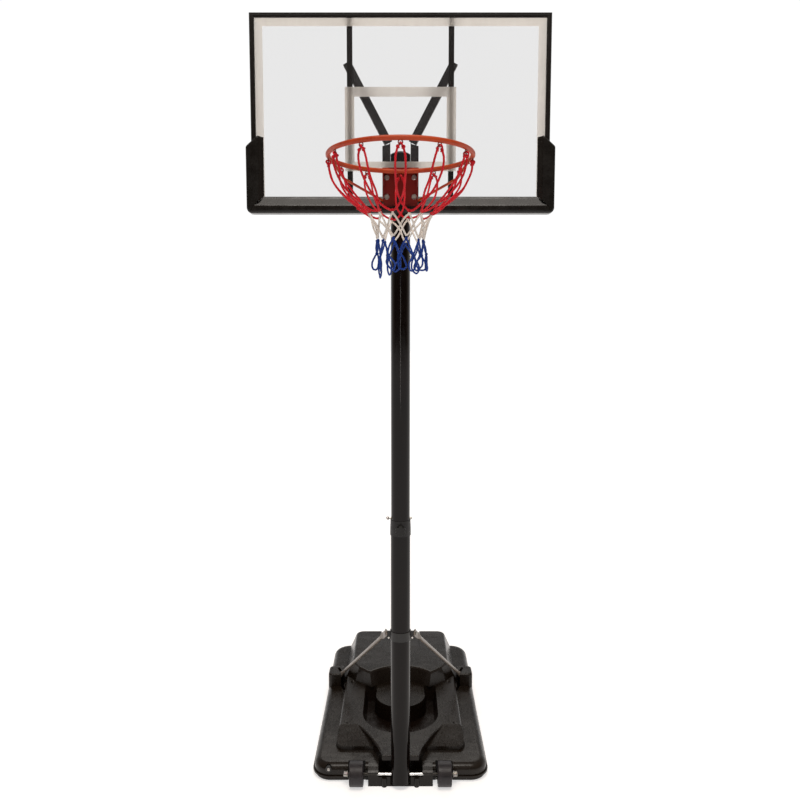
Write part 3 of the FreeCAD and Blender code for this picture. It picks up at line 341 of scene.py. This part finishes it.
def printFinish():
    # ink film: most of what is seen is light that comes through from behind
    finish, tree, shader = newFinish("printFilm", **{"IOR": 1.45})
    place = placeIn(tree)
    pull = grain(tree, placeIn(tree, (1, 1, 0.12)), 55, 4.0, 0.6)
    dots = grain(tree, place, 1400, 2.0)
    colour = ramp(tree, pull, [(0.3, (0.62, 0.585, 0.545)), (0.7, (0.68, 0.645, 0.605))])
    normal = bumps(tree, [(pull, 0.1, 0.0002), (dots, 0.2, 0.0001)])
    feed(tree, shader, colour, spread(tree, dots, 0.42, 0.56), normal)
    through = ramp(tree, pull, [(0.3, (0.93, 0.905, 0.875)), (0.7, (0.96, 0.94, 0.91))])
    glow = makeNode(tree, "BsdfTranslucent", {"Color": through})
    both = makeNode(tree, "MixShader", {0: 0.84, 1: shader.outputs[0], 2: glow.outputs[0]})
    tree.links.new(both.outputs[0], tree.nodes["Material Output"].inputs["Surface"])
    return finish


def waterFinish():
    finish, tree, shader = newFinish("tankWater", **{"IOR": 1.33, "Transmission Weight": 0.9})
    ripple = grain(tree, placeIn(tree), 12, 3.0)
    colour = ramp(tree, ripple, [(0.3, (0.4, 0.55, 0.6)), (0.7, (0.55, 0.68, 0.72))])
    feed(tree, shader, colour, spread(tree, ripple, 0.02, 0.08), bumps(tree, [(ripple, 0.3, 0.004)]))
    return finish


cordKinds = {
    # shaded and lit colour of the braid, for painted shade in its grooves and a painted highlight on its strand
    # crowns, and metres along the cord for one turn of a strand
    "redCord": dict(dark=(0.17, 0.001, 0.0045), light=(0.62, 0.0035, 0.013), pitch=0.0075),
    "whiteCord": dict(dark=(0.40, 0.355, 0.31), light=(0.74, 0.69, 0.63), pitch=0.0065),
    "blueCord": dict(dark=(0.0008, 0.0042, 0.036), light=(0.004, 0.045, 0.3), pitch=0.0065),
}


def cordFinish(name):
    # braid: two sets of strands that cross, read from the cord's own length and girth
    kind = cordKinds[name]
    finish, tree, shader = newFinish(name, **{"IOR": 1.5, "Specular IOR Level": 0.22})
    split = makeNode(tree, "SeparateXYZ", {"Vector": makeNode(tree, "UVMap", uv_map="cordLay").outputs["UV"]})
    girth = arith(tree, "MULTIPLY", split.outputs["X"], 2 * math.pi * 3)
    along = arith(tree, "MULTIPLY", split.outputs["Y"], 2 * math.pi / kind["pitch"])
    rising = arith(tree, "SINE", arith(tree, "ADD", along, girth))
    falling = arith(tree, "SINE", arith(tree, "SUBTRACT", along, girth))
    braid = arith(tree, "MAXIMUM", rising, falling)
    fuzz = grain(tree, placeIn(tree), 2600, 3.0, 0.6)
    soil = grain(tree, placeIn(tree), 38, 4.0, 0.65)
    # painted shade and highlight: the strand crowns take the lit colour, the grooves between them the shaded
    # colour
    colour = ramp(tree, spread(tree, braid, 0.0, 1.0, -0.6, 0.9), [(0.15, kind["dark"]), (0.75, kind["light"])])
    colour = blendColour(tree, spread(tree, soil, 0.0, 0.4), colour, kind["dark"])
    bright = tuple(min(1.0, c * 1.25) for c in kind["light"])
    colour = blendColour(tree, spread(tree, fuzz, 0.0, 0.35, 0.5, 0.8), colour, bright)
    roughness = spread(tree, braid, 0.72, 0.48, -0.5, 0.9)
    feed(tree, shader, colour, roughness, bumps(tree, [(braid, 0.6, 0.0006), (fuzz, 0.3, 0.0003)]))
    return finish


finishes = {name: plasticFinish(name) for name in plasticKinds}
finishes.update({name: coatFinish(name) for name in coatKinds})
finishes.update({name: metalFinish(name) for name in metalKinds})
finishes.update({name: rubberFinish(name) for name in rubberKinds})
finishes.update({name: cordFinish(name) for name in cordKinds})
finishes["frameAcross"] = extrusionFinish("frameAcross", (0.02, 1, 1))
finishes["frameUpright"] = extrusionFinish("frameUpright", (1, 1, 0.02))
finishes["wheelPlastic"] = wheelFinish()
finishes["clearSheet"] = panelFinish()
finishes["printFilm"] = printFinish()
finishes["tankWater"] = waterFinish()
print("finishes made:", len(finishes))

finishOf = {
    "base_tank": "tankPlastic", "water_ballast": "tankWater", "drain_plug": "plugPlastic",
    "wheel_axle": "axleSteel", "axle_nuts": "dullZinc",
    "wheel_left": "wheelPlastic", "wheel_right": "wheelPlastic",
    "lower_pole": "glossBlack", "middle_pole": "glossBlack", "top_pole": "glossBlack",
    "pole_foot": "mouldedBlack", "pole_collar": "mouldedBlack", "clamp_knob": "knobPlastic",
    "pole_glide": "naturalNylon", "pole_cap": "capPlastic",
    "pole_joint_bolt": "zincPlate", "height_pin": "zincPlate", "clamp_bolts": "zincPlate",
    "strut_bolts": "dullZinc", "cross_bolts": "zincPlate", "arm_bolts": "zincPlate", "rim_bolts": "zincPlate",
    "rail_screws": "dullZinc", "rim_spacers": "spacerSteel",
    "clamp_band": "bandBlack", "strut_left": "strutGrey", "strut_right": "strutGrey",
    "arm_left": "armBlack", "arm_right": "armBlack",
    "board_panel": "clearSheet", "border_print": "printFilm", "target_print": "printFilm",
    "frame_top": "frameAcross", "frame_bottom": "frameAcross", "frame_left": "frameUpright",
    "frame_right": "frameUpright", "rail_left": "railBlack", "rail_right": "railBlack",
    "pad_bottom": "padFoam", "pad_left": "padFoam", "pad_right": "padFoam",
    "rim_ring": "rimOrange", "rim_braces": "rimOrange", "net_hooks": "bracketRed", "rim_bracket": "bracketRed",
    "plate_gasket": "gasketRubber", "net_upper": "redCord", "net_middle": "whiteCord", "net_lower": "blueCord",
}


def wear(piece, finishName):
    for slot in piece.material_slots:
        slot.material = finishes[finishName]


for nodeName, finishName in finishOf.items():
    wear(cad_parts[nodeName], finishName)
missing = sorted(set(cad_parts) - set(finishOf))
missing += [name for name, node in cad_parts.items() if not node.material_slots]
print("parts without a finish:", missing)


# helpers for meshes
def meshPiece(name, points, faces, finishName, body):
    mesh = bpy.data.meshes.new(name)
    mesh.from_pydata([tuple(p) for p in points], [], faces)
    mesh.update()
    mesh.polygons.foreach_set("use_smooth", [True] * len(mesh.polygons))
    piece = bpy.data.objects.new(name, mesh)
    bpy.context.scene.collection.objects.link(piece)
    mesh.materials.append(finishes[finishName])
    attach(piece, body)
    return piece


def softLine(points, step):
    # a smooth line through the points, sampled every step metres
    pts = [np.array(p, float) for p in points]
    closed = np.linalg.norm(pts[0] - pts[-1]) < 1e-9
    before = pts[-2] if closed else 2 * pts[0] - pts[1]
    after = pts[1] if closed else 2 * pts[-1] - pts[-2]
    pts = [before] + pts + [after]
    line = []
    for a, b, c, d in zip(pts, pts[1:], pts[2:], pts[3:]):
        count = max(2, int(np.linalg.norm(c - b) / step))
        for k in range(count):
            t = k / count
            line.append(0.5 * (2 * b + (c - a) * t + (2 * a - 5 * b + 4 * c - d) * t * t
                               + (3 * b - a - 3 * c + d) * t ** 3))
    line.append(pts[-2])
    return np.array(line)


def addCord(store, points, radius, sides=8, step=0.0028, turn=0.012):
    # three-lobed twisted cord along the points; store collects points, faces and lay coordinates
    line = softLine(points, step)
    tangent = np.gradient(line, axis=0)
    tangent /= np.linalg.norm(tangent, axis=1)[:, None]
    travel = np.concatenate([[0], np.cumsum(np.linalg.norm(np.diff(line, axis=0), axis=1))])
    normal = np.cross(tangent[0], (0.3, 0.2, 0.93))
    normal /= np.linalg.norm(normal)
    first = len(store["points"])
    lead = draws.uniform(0, 1)
    for k, (place, along) in enumerate(zip(line, tangent)):
        normal = normal - along * normal.dot(along)
        normal /= np.linalg.norm(normal)
        side = np.cross(along, normal)
        end = min(1.0, (travel[k] + 1e-4) / radius, (travel[-1] - travel[k] + 1e-4) / radius)
        for j in range(sides):
            angle = 2 * math.pi * j / sides
            lobe = 1 + 0.09 * math.cos(3 * (angle - 2 * math.pi * travel[k] / (turn * 3)))
            r = radius * lobe * math.sqrt(max(0.05, 1 - (1 - end) ** 2))
            store["points"].append(place + r * (math.cos(angle) * normal + math.sin(angle) * side))
            store["lay"].append((j / sides, travel[k] + lead))
    rows = len(line)
    for k in range(rows - 1):
        for j in range(sides):
            a, b = first + k * sides + j, first + k * sides + (j + 1) % sides
            store["faces"].append((a, b, b + sides, a + sides))
    store["faces"].append(tuple(first + j for j in reversed(range(sides))))
    store["faces"].append(tuple(first + (rows - 1) * sides + j for j in range(sides)))


def addKnot(store, centre, size, radius, tilt):
    # a tight overhand knot: three lobes drawn close
    aboutX, aboutY, aboutZ = (Matrix.Rotation(angle, 3, axis) for angle, axis in zip(tilt, "XYZ"))
    turn = aboutX @ aboutY @ aboutZ
    loop = []
    for k in range(19):
        t = 2 * math.pi * k / 18
        spot = Vector((math.sin(t) + 2 * math.sin(2 * t), math.cos(t) - 2 * math.cos(2 * t),
                       -1.25 * math.sin(3 * t)))
        loop.append(np.array(Vector(centre) + turn @ spot * size))
    addCord(store, loop, radius, sides=7, step=0.0022)


def cordPiece(name, store, finishName, body, replaced):
    piece = meshPiece(name, store["points"], store["faces"], finishName, body)
    lay = piece.data.uv_layers.new(name="cordLay")
    sides = store["lay"]
    for loop in piece.data.loops:
        lay.data[loop.index].uv = sides[loop.vertex_index]
    for face in piece.data.polygons:
        # the last strip round the cord runs on to 1 instead of back to 0
        spots = [lay.data[i].uv for i in face.loop_indices]
        if max(s[0] for s in spots) - min(s[0] for s in spots) > 0.5:
            for s in spots:
                if s[0] < 0.5:
                    s[0] += 1.0
    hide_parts(replaced)


def emptyStore():
    return {"points": [], "faces": [], "lay": []}


# the net takes its place and size from the ring
ringLow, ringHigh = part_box("rim_ring")
ringCentre = (ringLow + ringHigh) / 2
rodRadius = (ringHigh.z - ringLow.z) / 2
ringRadius = (ringHigh.x - ringLow.x) / 2 - rodRadius

netKind = dict(
    hooks=12, redRadius=0.0034, whiteRadius=0.0031, blueRadius=0.003, eyeRadius=0.0029,
    # round the eye's wire: distance out from the ring, drop, distance aside
    eyeLoop=[(-0.004, 0.025, -0.0075), (-0.0065, 0.018, -0.003), (0.0, 0.0135, 0.0), (0.0065, 0.018, 0.003),
             (0.003, 0.025, 0.0075)],
    # knot size and the radius of the cord it is tied in
    eyeKnot=(0.00165, 0.0026), meetKnot=(0.0014, 0.0025), joinKnot=(0.0012, 0.0023), tieKnot=(0.0013, 0.0023),
    # drop below the ring, distance from its axis, half gap between the two cords of a pair
    pair=[(0.026, 0.231, 0.0085), (0.048, 0.229, 0.0135), (0.078, 0.219, 0.0145), (0.108, 0.199, 0.0135),
          (0.135, 0.172, 0.0105), (0.152, 0.151, 0.0055), (0.163, 0.138, 0.0022)],
    joinDrop=0.187, joinReach=0.099, crossDrop=0.229, crossReach=0.083, tieDrop=0.268, tieReach=0.0765,
    lowDrop=0.318, lowReach=0.080, hemDrop=0.374,
    # the hem's loops, as shares of their width and length
    hemLoop=[(-0.55, 0.22), (-1.0, 0.55), (-0.8, 0.86), (0.0, 1.0), (0.8, 0.88), (1.05, 0.6), (0.55, 0.24)],
)


def netPoint(degrees, reach, drop, aside=0.0):
    a = math.radians(degrees)
    out = np.array((math.cos(a), math.sin(a), 0))
    across = np.array((-math.sin(a), math.cos(a), 0))
    return np.array(ringCentre) + out * reach + across * aside - np.array((0, 0, drop))


def jitter(amount):
    return draws.uniform(-amount, amount, 3)


def anyTilt():
    return draws.uniform(0, math.pi, 3)


def buildNet():
    red, white, blue = emptyStore(), emptyStore(), emptyStore()
    count = netKind["hooks"]
    gap = 360 / count
    joins, ties = [], []
    for k in range(count):
        at = -90 + gap * k
        joins.append(netPoint(at + gap / 2, netKind["joinReach"], netKind["joinDrop"]) + jitter(0.005))
        ties.append(netPoint(at + gap / 2, netKind["tieReach"], netKind["tieDrop"]) + jitter(0.004))
    for k in range(count):
        at = -90 + gap * k
        # through the eye, with a knot on each side of it
        eye = [netPoint(at, ringRadius + out, drop, aside) for out, drop, aside in netKind["eyeLoop"]]
        addCord(red, eye, netKind["eyeRadius"], step=0.002)
        meet = netPoint(at, *[netKind["pair"][-1][i] for i in (1, 0)]) + jitter(0.003)
        for side in (-1, 1):
            knot = netPoint(at, ringRadius - 0.001, 0.0265, side * 0.0085) + jitter(0.0012)
            addKnot(red, knot, *netKind["eyeKnot"], anyTilt())
            slack = draws.uniform(-0.003, 0.005)
            path = [knot]
            for n, (drop, reach, half) in enumerate(netKind["pair"][1:-1]):
                bow = half + slack * math.sin(math.pi * (n + 1) / 6)
                path.append(netPoint(at, reach + draws.uniform(-0.002, 0.0015), drop, side * bow))
            path.append(meet + np.array((0, 0, 0.002)))
            join = joins[(k - 1 if side < 0 else k) % count]
            path.append(meet + (join - meet) * 0.08 - np.array((0, 0, 0.002)))
            middle = (path[-1] + join) / 2 + np.array((0, 0, -0.004)) + jitter(0.002)
            path += [middle, join]
            addCord(red, path, netKind["redRadius"])
        addKnot(red, meet, *netKind["meetKnot"], anyTilt())
    for k, join in enumerate(joins):
        addKnot(red, join + np.array((0, 0, 0.003)), *netKind["joinKnot"], anyTilt())
        addKnot(white, join - np.array((0, 0, 0.0055)), *netKind["tieKnot"], anyTilt())
    # white cords lean both ways, and pass over and under where they cross
    for k in range(count):
        at = -90 + gap * k
        for start, end, lean in ((joins[k - 1], ties[k], 0.0032), (joins[k], ties[k - 1], -0.0032)):
            cross = netPoint(at, netKind["crossReach"] + lean, netKind["crossDrop"]) + jitter(0.0016)
            path = [start - np.array((0, 0, 0.006)), start * 0.55 + cross * 0.45 + jitter(0.0016), cross,
                    cross * 0.5 + end * 0.5 + jitter(0.0016), end + np.array((0, 0, 0.003))]
            addCord(white, path, netKind["whiteRadius"])
    # blue cords hang from the ties, cross once and end in loose loops
    lows = []
    for k in range(count):
        at = -90 + gap * k
        drop = netKind["lowDrop"] + draws.uniform(-0.007, 0.007)
        lows.append(netPoint(at, netKind["lowReach"], drop) + jitter(0.005))
    for k, tie in enumerate(ties):
        addKnot(blue, tie - np.array((0, 0, 0.003)), *netKind["tieKnot"], anyTilt())
        for low in (lows[k], lows[(k + 1) % count]):
            sag = (tie + low) / 2 + jitter(0.004)
            addCord(blue, [tie - np.array((0, 0, 0.004)), sag, low], netKind["blueRadius"])
    for k, low in enumerate(lows):
        at = -90 + gap * k
        addKnot(blue, low, *netKind["tieKnot"], anyTilt())
        wide = draws.uniform(0.011, 0.0165)
        long = netKind["hemDrop"] - netKind["lowDrop"] + draws.uniform(-0.008, 0.004)
        swing, twist = draws.uniform(-0.45, 0.45), draws.uniform(-0.8, 0.8)
        turn = math.radians(at) + twist
        across = np.array((-math.sin(turn), math.cos(turn), 0))
        down = np.array((across[0] * math.sin(swing), across[1] * math.sin(swing), -math.cos(swing)))
        loop = [low]
        for x, z in netKind["hemLoop"]:
            loop.append(low + across * x * wide + down * z * long + jitter(0.0015))
        addCord(blue, loop + [low], netKind["blueRadius"], step=0.0024)
    cordPiece("netRed", red, "redCord", "mast", "net_upper")
    cordPiece("netWhite", white, "whiteCord", "mast", "net_middle")
    cordPiece("netBlue", blue, "blueCord", "mast", "net_lower")
    print("net made:", sum(len(s["points"]) for s in (red, white, blue)), "points")


buildNet()


# edge pads
padKind = dict(cornerRadius=0.020, crown=0.0012, sunk=0.0011, gap=0.0003, outlineStep=0.006,
               sharpAngle=38, sideChamfer=0.044, sideDrop=0.039)


def roundCorner(points, sideX, lowZ, radius):
    # the pad's lower outer corner is rounded as seen from the front
    shaped = []
    for x, y, z in points:
        cx, cz = sideX - radius, lowZ + radius
        dx, dz = abs(x) - cx, cz - z
        if dx > 0 and dz > 0:
            reach = max(dx, dz)
            far = math.hypot(dx, dz)
            x = math.copysign(cx + dx * reach / far, x)
            z = cz - dz * reach / far
        shaped.append((x, y, z))
    return shaped


def gridFaces(rows, columns):
    faces = []
    for r in range(rows - 1):
        for c in range(columns):
            n = (c + 1) % columns
            faces.append((r * columns + c, r * columns + n, (r + 1) * columns + n, (r + 1) * columns + c))
    return faces


def densify(outline, step):
    dense = []
    count = len(outline)
    for k in range(count):
        a, b = np.array(outline[k]), np.array(outline[(k + 1) % count])
        parts = max(1, int(round(np.linalg.norm(b - a) / step)))
        dense += [tuple(a + (b - a) * j / parts) for j in range(parts)]
    return dense


def roundedOutline(corners, radii, steps=4):
    # polygon with each corner eased by its own radius
    shape = []
    count = len(corners)
    for k in range(count):
        p, a, b = (np.array(corners[i % count], float) for i in (k, k - 1, k + 1))
        toA, toB = (a - p) / np.linalg.norm(a - p), (b - p) / np.linalg.norm(b - p)
        r = radii[k]
        if r <= 0:
            shape.append(tuple(p))
            continue
        for j in range(steps + 1):
            t = j / steps
            start, end = p + toA * r, p + toB * r
            shape.append(tuple((1 - t) ** 2 * start + 2 * t * (1 - t) * p + t * t * end))
    return shape


def finishPad(piece, nodeName):
    bm = bmesh.new()
    bm.from_mesh(piece.data)
    bmesh.ops.remove_doubles(bm, verts=bm.verts, dist=1e-5)
    bmesh.ops.recalc_face_normals(bm, faces=bm.faces)
    bm.to_mesh(piece.data)
    bm.free()
    piece.data.set_sharp_from_angle(angle=math.radians(padKind["sharpAngle"]))
    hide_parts(nodeName)


def bottomPad():
    low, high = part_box("pad_bottom")
    reach = high.x - padKind["gap"]
    frameLow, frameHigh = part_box("frame_bottom")
    front, back = low.y, high.y
    shelf = frameLow.y - padKind["gap"]
    # along the underside, up the front, over the bar's top edge, down its face and back under it
    corners = [(back, low.z), (front, low.z), (front, low.z + 0.028), (shelf - 0.0004, high.z - 0.0008),
               (shelf + 0.0046, high.z), (shelf + 0.0046, frameHigh.z + 0.0004), (shelf, frameHigh.z + 0.0004),
               (shelf, frameLow.z - padKind["gap"]), (back, frameLow.z - padKind["gap"])]
    outline = roundedOutline(corners, [0, 0.006, 0.0035, 0.0012, 0.0006, 0, 0, 0, 0])
    outline = densify(outline, padKind["outlineStep"])
    plateLow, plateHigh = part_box("rim_bracket")
    notch, notchTop = plateHigh.x + 0.0006, plateLow.z - 0.0012
    stations = [reach * k / 90 for k in range(-90, 91)]
    stations = sorted([s for s in stations if abs(abs(s) - notch) > 0.002]
                      + [side * (notch + gap) for side in (-1, 1) for gap in (-0.0001, 0.0001)])
    points = []
    for s in stations:
        for y, z in outline:
            half = reach - (z - low.z) - 0.0004
            x = max(-half, min(half, s))
            # the foam's front stands slightly proud between its edges, and is never quite flat
            rise = 0.0
            if y < shelf - 0.002:
                rise = padKind["crown"] * math.sin(math.pi * min(1, max(0, (z - low.z) / 0.030)))
                rise += 0.00035 * math.sin(64 * x + 1.3) * math.sin(19 * x)
                rise *= 1 - min(1, abs(s) / reach) ** 12
            if abs(s) < notch:
                z = min(z, notchTop)
            points.append((x, y + padKind["sunk"] - rise if y < shelf - 0.002 else y, z))
    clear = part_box("frame_right")[0].x - 0.0004
    shaped = []
    for x, y, z in roundCorner(points, high.x, low.z, padKind["cornerRadius"]):
        # the back stops short of the upright frame bars
        if abs(x) > clear and z > frameHigh.z and y > shelf:
            y = shelf
        shaped.append((x, y, z))
    rows, columns = len(stations), len(outline)
    faces = gridFaces(rows, columns)
    faces.append(tuple(reversed(range(columns))))
    faces.append(tuple((rows - 1) * columns + c for c in range(columns)))
    piece = meshPiece("padBottom", shaped, faces, "padFoam", "mast")
    finishPad(piece, "pad_bottom")


def sidePad(nodeName, pieceName):
    low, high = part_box(nodeName)
    sign = 1 if low.x + high.x > 0 else -1
    outer, inner = (high.x, low.x) if sign > 0 else (-low.x, -high.x)
    front, back, top = low.y, high.y, high.z
    frameLow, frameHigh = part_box("frame_right")
    edge, shelf = frameHigh.x + padKind["gap"], frameLow.y - padKind["gap"]
    lip = frameLow.x - padKind["gap"]
    corners = [(outer, back), (outer, front), (inner + 0.018, front), (inner, shelf - 0.0006),
               (inner, shelf + 0.0045), (lip, shelf + 0.0045), (lip, shelf), (edge, shelf), (edge, back)]
    outline = roundedOutline(corners, [0.003, 0.008, 0.004, 0.0012, 0, 0, 0, 0, 0])
    outline = densify(outline, padKind["outlineStep"])
    chamfer, drop = padKind["sideChamfer"], padKind["sideDrop"]
    stations = [k / 60 for k in range(61)]
    points = []
    for s in stations:
        for x, y in outline:
            bottom = low.z + 0.0007 + max(0.0, outer - x)
            crest = top - drop * max(0.0, x - (outer - chamfer)) / chamfer
            crest -= 0.003 * max(0.0, (outer - chamfer) - x) / 0.022
            z = bottom + (crest - bottom) * s
            rise = 0.0
            if y < shelf - 0.002:
                rise = padKind["crown"] * math.sin(math.pi * min(1, max(0, (outer - x) / (outer - inner))))
                rise *= math.sin(math.pi * min(1, 0.06 + 0.94 * s)) ** 0.25 if s < 1 else 0
            deep = y
            if y < shelf - 0.002:
                # the front edge rolls back near the top
                ease = 0.004 * max(0.0, 1 - (1 - s) * (crest - bottom) / 0.006) ** 2
                deep = y + padKind["sunk"] - rise + ease
            points.append((sign * x, deep, z))
    points = roundCorner(points, outer, low.z, padKind["cornerRadius"])
    rows, columns = len(stations), len(outline)
    faces = gridFaces(rows, columns)
    faces.append(tuple(reversed(range(columns))))
    faces.append(tuple((rows - 1) * columns + c for c in range(columns)))
    piece = meshPiece(pieceName, points, faces, "padFoam", "mast")
    finishPad(piece, nodeName)


bottomPad()
sidePad("pad_left", "padLeft")
sidePad("pad_right", "padRight")
print("edge pads made")


# weld beads on the rim
weldKind = dict(bead=0.0021, ripple=0.0035, sides=9, neckLift=0.0082, neckReach=(-0.003, 0.0035),
                braceAngle=16, braceDrop=0.0085, braceBead=0.0018)


def addBead(store, points, radius):
    # a run of weld metal: a lumpy line, one ripple every few millimetres
    line = softLine(points, 0.0012)
    tangent = np.gradient(line, axis=0)
    tangent /= np.linalg.norm(tangent, axis=1)[:, None]
    first = len(store["points"])
    sides = weldKind["sides"]
    travel = 0.0
    for k, (place, along) in enumerate(zip(line, tangent)):
        up = np.array((0.1, 0.2, 1.0)) if abs(along[2]) < 0.8 else np.array((1.0, 0.1, 0.0))
        side = np.cross(along, up)
        side /= np.linalg.norm(side)
        lift = np.cross(side, along)
        if k:
            travel += np.linalg.norm(place - line[k - 1])
        end = min(k, len(line) - 1 - k) / 3
        r = radius * (0.86 + 0.14 * abs(math.sin(math.pi * travel / weldKind["ripple"]))) * min(1.0, 0.35 + end)
        for j in range(sides):
            a = 2 * math.pi * j / sides
            store["points"].append(place + r * (math.cos(a) * side + 0.8 * math.sin(a) * lift))
            store["lay"].append((0, 0))
    rows = len(line)
    store["faces"] += [tuple(first + i for i in f) for f in gridFaces(rows, sides)]
    store["faces"].append(tuple(first + j for j in reversed(range(sides))))
    store["faces"].append(tuple(first + (rows - 1) * sides + j for j in range(sides)))


def buildWelds():
    store = emptyStore()
    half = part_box("rim_bracket")[1].x - 0.007
    # along the top of the neck, on the inner and outer side of the ring
    for reach in weldKind["neckReach"]:
        line = []
        for k in range(9):
            x = half * (k / 4 - 1) * 0.9
            y = ringCentre.y + math.sqrt((ringRadius + reach) ** 2 - x * x)
            line.append((x, y, ringCentre.z + weldKind["neckLift"]))
        addBead(store, line, weldKind["bead"])
    # round the upper end of each brace
    for side in (-1, 1):
        a = math.radians(weldKind["braceAngle"])
        centre = np.array((side * ringRadius * math.cos(a), ringCentre.y + ringRadius * math.sin(a),
                           ringCentre.z - weldKind["braceDrop"]))
        turns = [2 * math.pi * k / 10 for k in range(11)]
        ring = [centre + np.array((0.0052 * math.cos(t), 0.0064 * math.sin(t), -0.0012)) for t in turns]
        addBead(store, ring, weldKind["braceBead"])
    piece = meshPiece("rimWelds", store["points"], store["faces"], "rimOrange", "mast")
    print("weld beads made:", len(store["points"]), "points")


buildWelds()


# studio
studioKind = dict(
    cameraAt=(0.0, -2.906, 1.884), pitch=5.41, lens=33.33, shift=(-0.0006, -0.001),
    floorHalf=60.0, floorGlow=(0.57, 0.85), glowReach=(1.5, 6.0),
    backLight=0.95, frontLight=0.04, skyLight=0.3, seenLight=1.02,
    lampColour=(1.0, 0.945, 0.88), warmLight=(1.0, 0.76, 0.62),
    lamps=[
        # name, place, looks at, width, height, power
        ("overhead", (0.0, -1.7, 5.4), (0.0, -0.1, 1.8), 3.6, 2.2, 90.0),
        ("front", (0.0, -3.3, 6.1), (0.0, 0.0, 2.3), 2.4, 1.0, 80.0),
        ("strip", (0.0, -3.15, 1.85), (0.0, 0.0, 1.75), 0.10, 1.15, 4.0),
        ("rear", (0.0, 3.6, 3.4), (0.0, 0.4, 0.6), 3.0, 1.2, 34.0),
    ],
)


def buildStudio():
    scene = bpy.context.scene
    scene.view_settings.view_transform = "Standard"
    world = bpy.data.worlds.new("studio")
    scene.world = world
    world.use_nodes = True
    tree = world.node_tree
    background = tree.nodes["Background"]
    direction = makeNode(tree, "SeparateXYZ", {"Vector": makeNode(tree, "TexCoord").outputs["Generated"]})
    y = direction.outputs["Y"]
    rear = spread(tree, y, studioKind["frontLight"], studioKind["backLight"], -0.35, 0.45)
    above = spread(tree, direction.outputs["Z"], 0.0, 1.0, 0.18, 0.42)
    level = makeNode(tree, "Mix", {0: above, 2: rear, 3: studioKind["skyLight"]}, data_type="FLOAT").outputs[0]
    seen = makeNode(tree, "LightPath").outputs["Is Camera Ray"]
    level = makeNode(tree, "Mix", {0: seen, 2: level, 3: studioKind["seenLight"]}, data_type="FLOAT").outputs[0]
    # light from the front is warm, and the backdrop itself stays white
    turned = spread(tree, y, 0.0, 1.0, -0.2, 0.6)
    tint = ramp(tree, turned, [(0.0, studioKind["warmLight"]), (1.0, (1, 1, 1))])
    tree.links.new(blendColour(tree, seen, tint, (1.0, 1.0, 1.0)), background.inputs["Color"])
    tree.links.new(level, background.inputs["Strength"])

    half = studioKind["floorHalf"]
    mesh = bpy.data.meshes.new("studioFloor")
    corners = [(-half, -half, 0), (half, -half, 0), (half, half, 0), (-half, half, 0)]
    mesh.from_pydata(corners, [], [(0, 1, 2, 3)])
    floor = bpy.data.objects.new("studioFloor", mesh)
    scene.collection.objects.link(floor)
    constants = {"Emission Color": (1, 1, 1, 1), "Specular IOR Level": 0.1}
    finish, tree, shader = newFinish("floorPaint", **constants)
    place = placeIn(tree)
    paint = grain(tree, place, 3.0, 2.0)
    away = makeNode(tree, "VectorMath", {0: place}, operation="LENGTH").outputs["Value"]
    glow = spread(tree, away, *studioKind["floorGlow"], *studioKind["glowReach"])
    tree.links.new(glow, shader.inputs["Emission Strength"])
    shade = ramp(tree, paint, [(0.3, (0.80, 0.80, 0.80)), (0.7, (0.83, 0.83, 0.83))])
    feed(tree, shader, shade, spread(tree, paint, 0.75, 0.85))
    mesh.materials.append(finish)

    for name, place, target, width, height, power in studioKind["lamps"]:
        lamp = bpy.data.lights.new(name, "AREA")
        lamp.shape = "RECTANGLE"
        lamp.size, lamp.size_y, lamp.energy = width, height, power
        lamp.color = studioKind["lampColour"]
        holder = bpy.data.objects.new(name, lamp)
        scene.collection.objects.link(holder)
        holder.location = place
        holder.rotation_euler = (Vector(target) - Vector(place)).to_track_quat("-Z", "Y").to_euler()
        holder.visible_camera = False

    camera = bpy.data.objects.new("camera", bpy.data.cameras.new("camera"))
    scene.collection.objects.link(camera)
    camera.location = studioKind["cameraAt"]
    camera.rotation_euler = (math.radians(90 - studioKind["pitch"]), 0, 0)
    camera.data.lens = studioKind["lens"]
    camera.data.sensor_width = 36.0
    camera.data.shift_x, camera.data.shift_y = studioKind["shift"]
    scene.camera = camera
    print("studio made")


buildStudio()
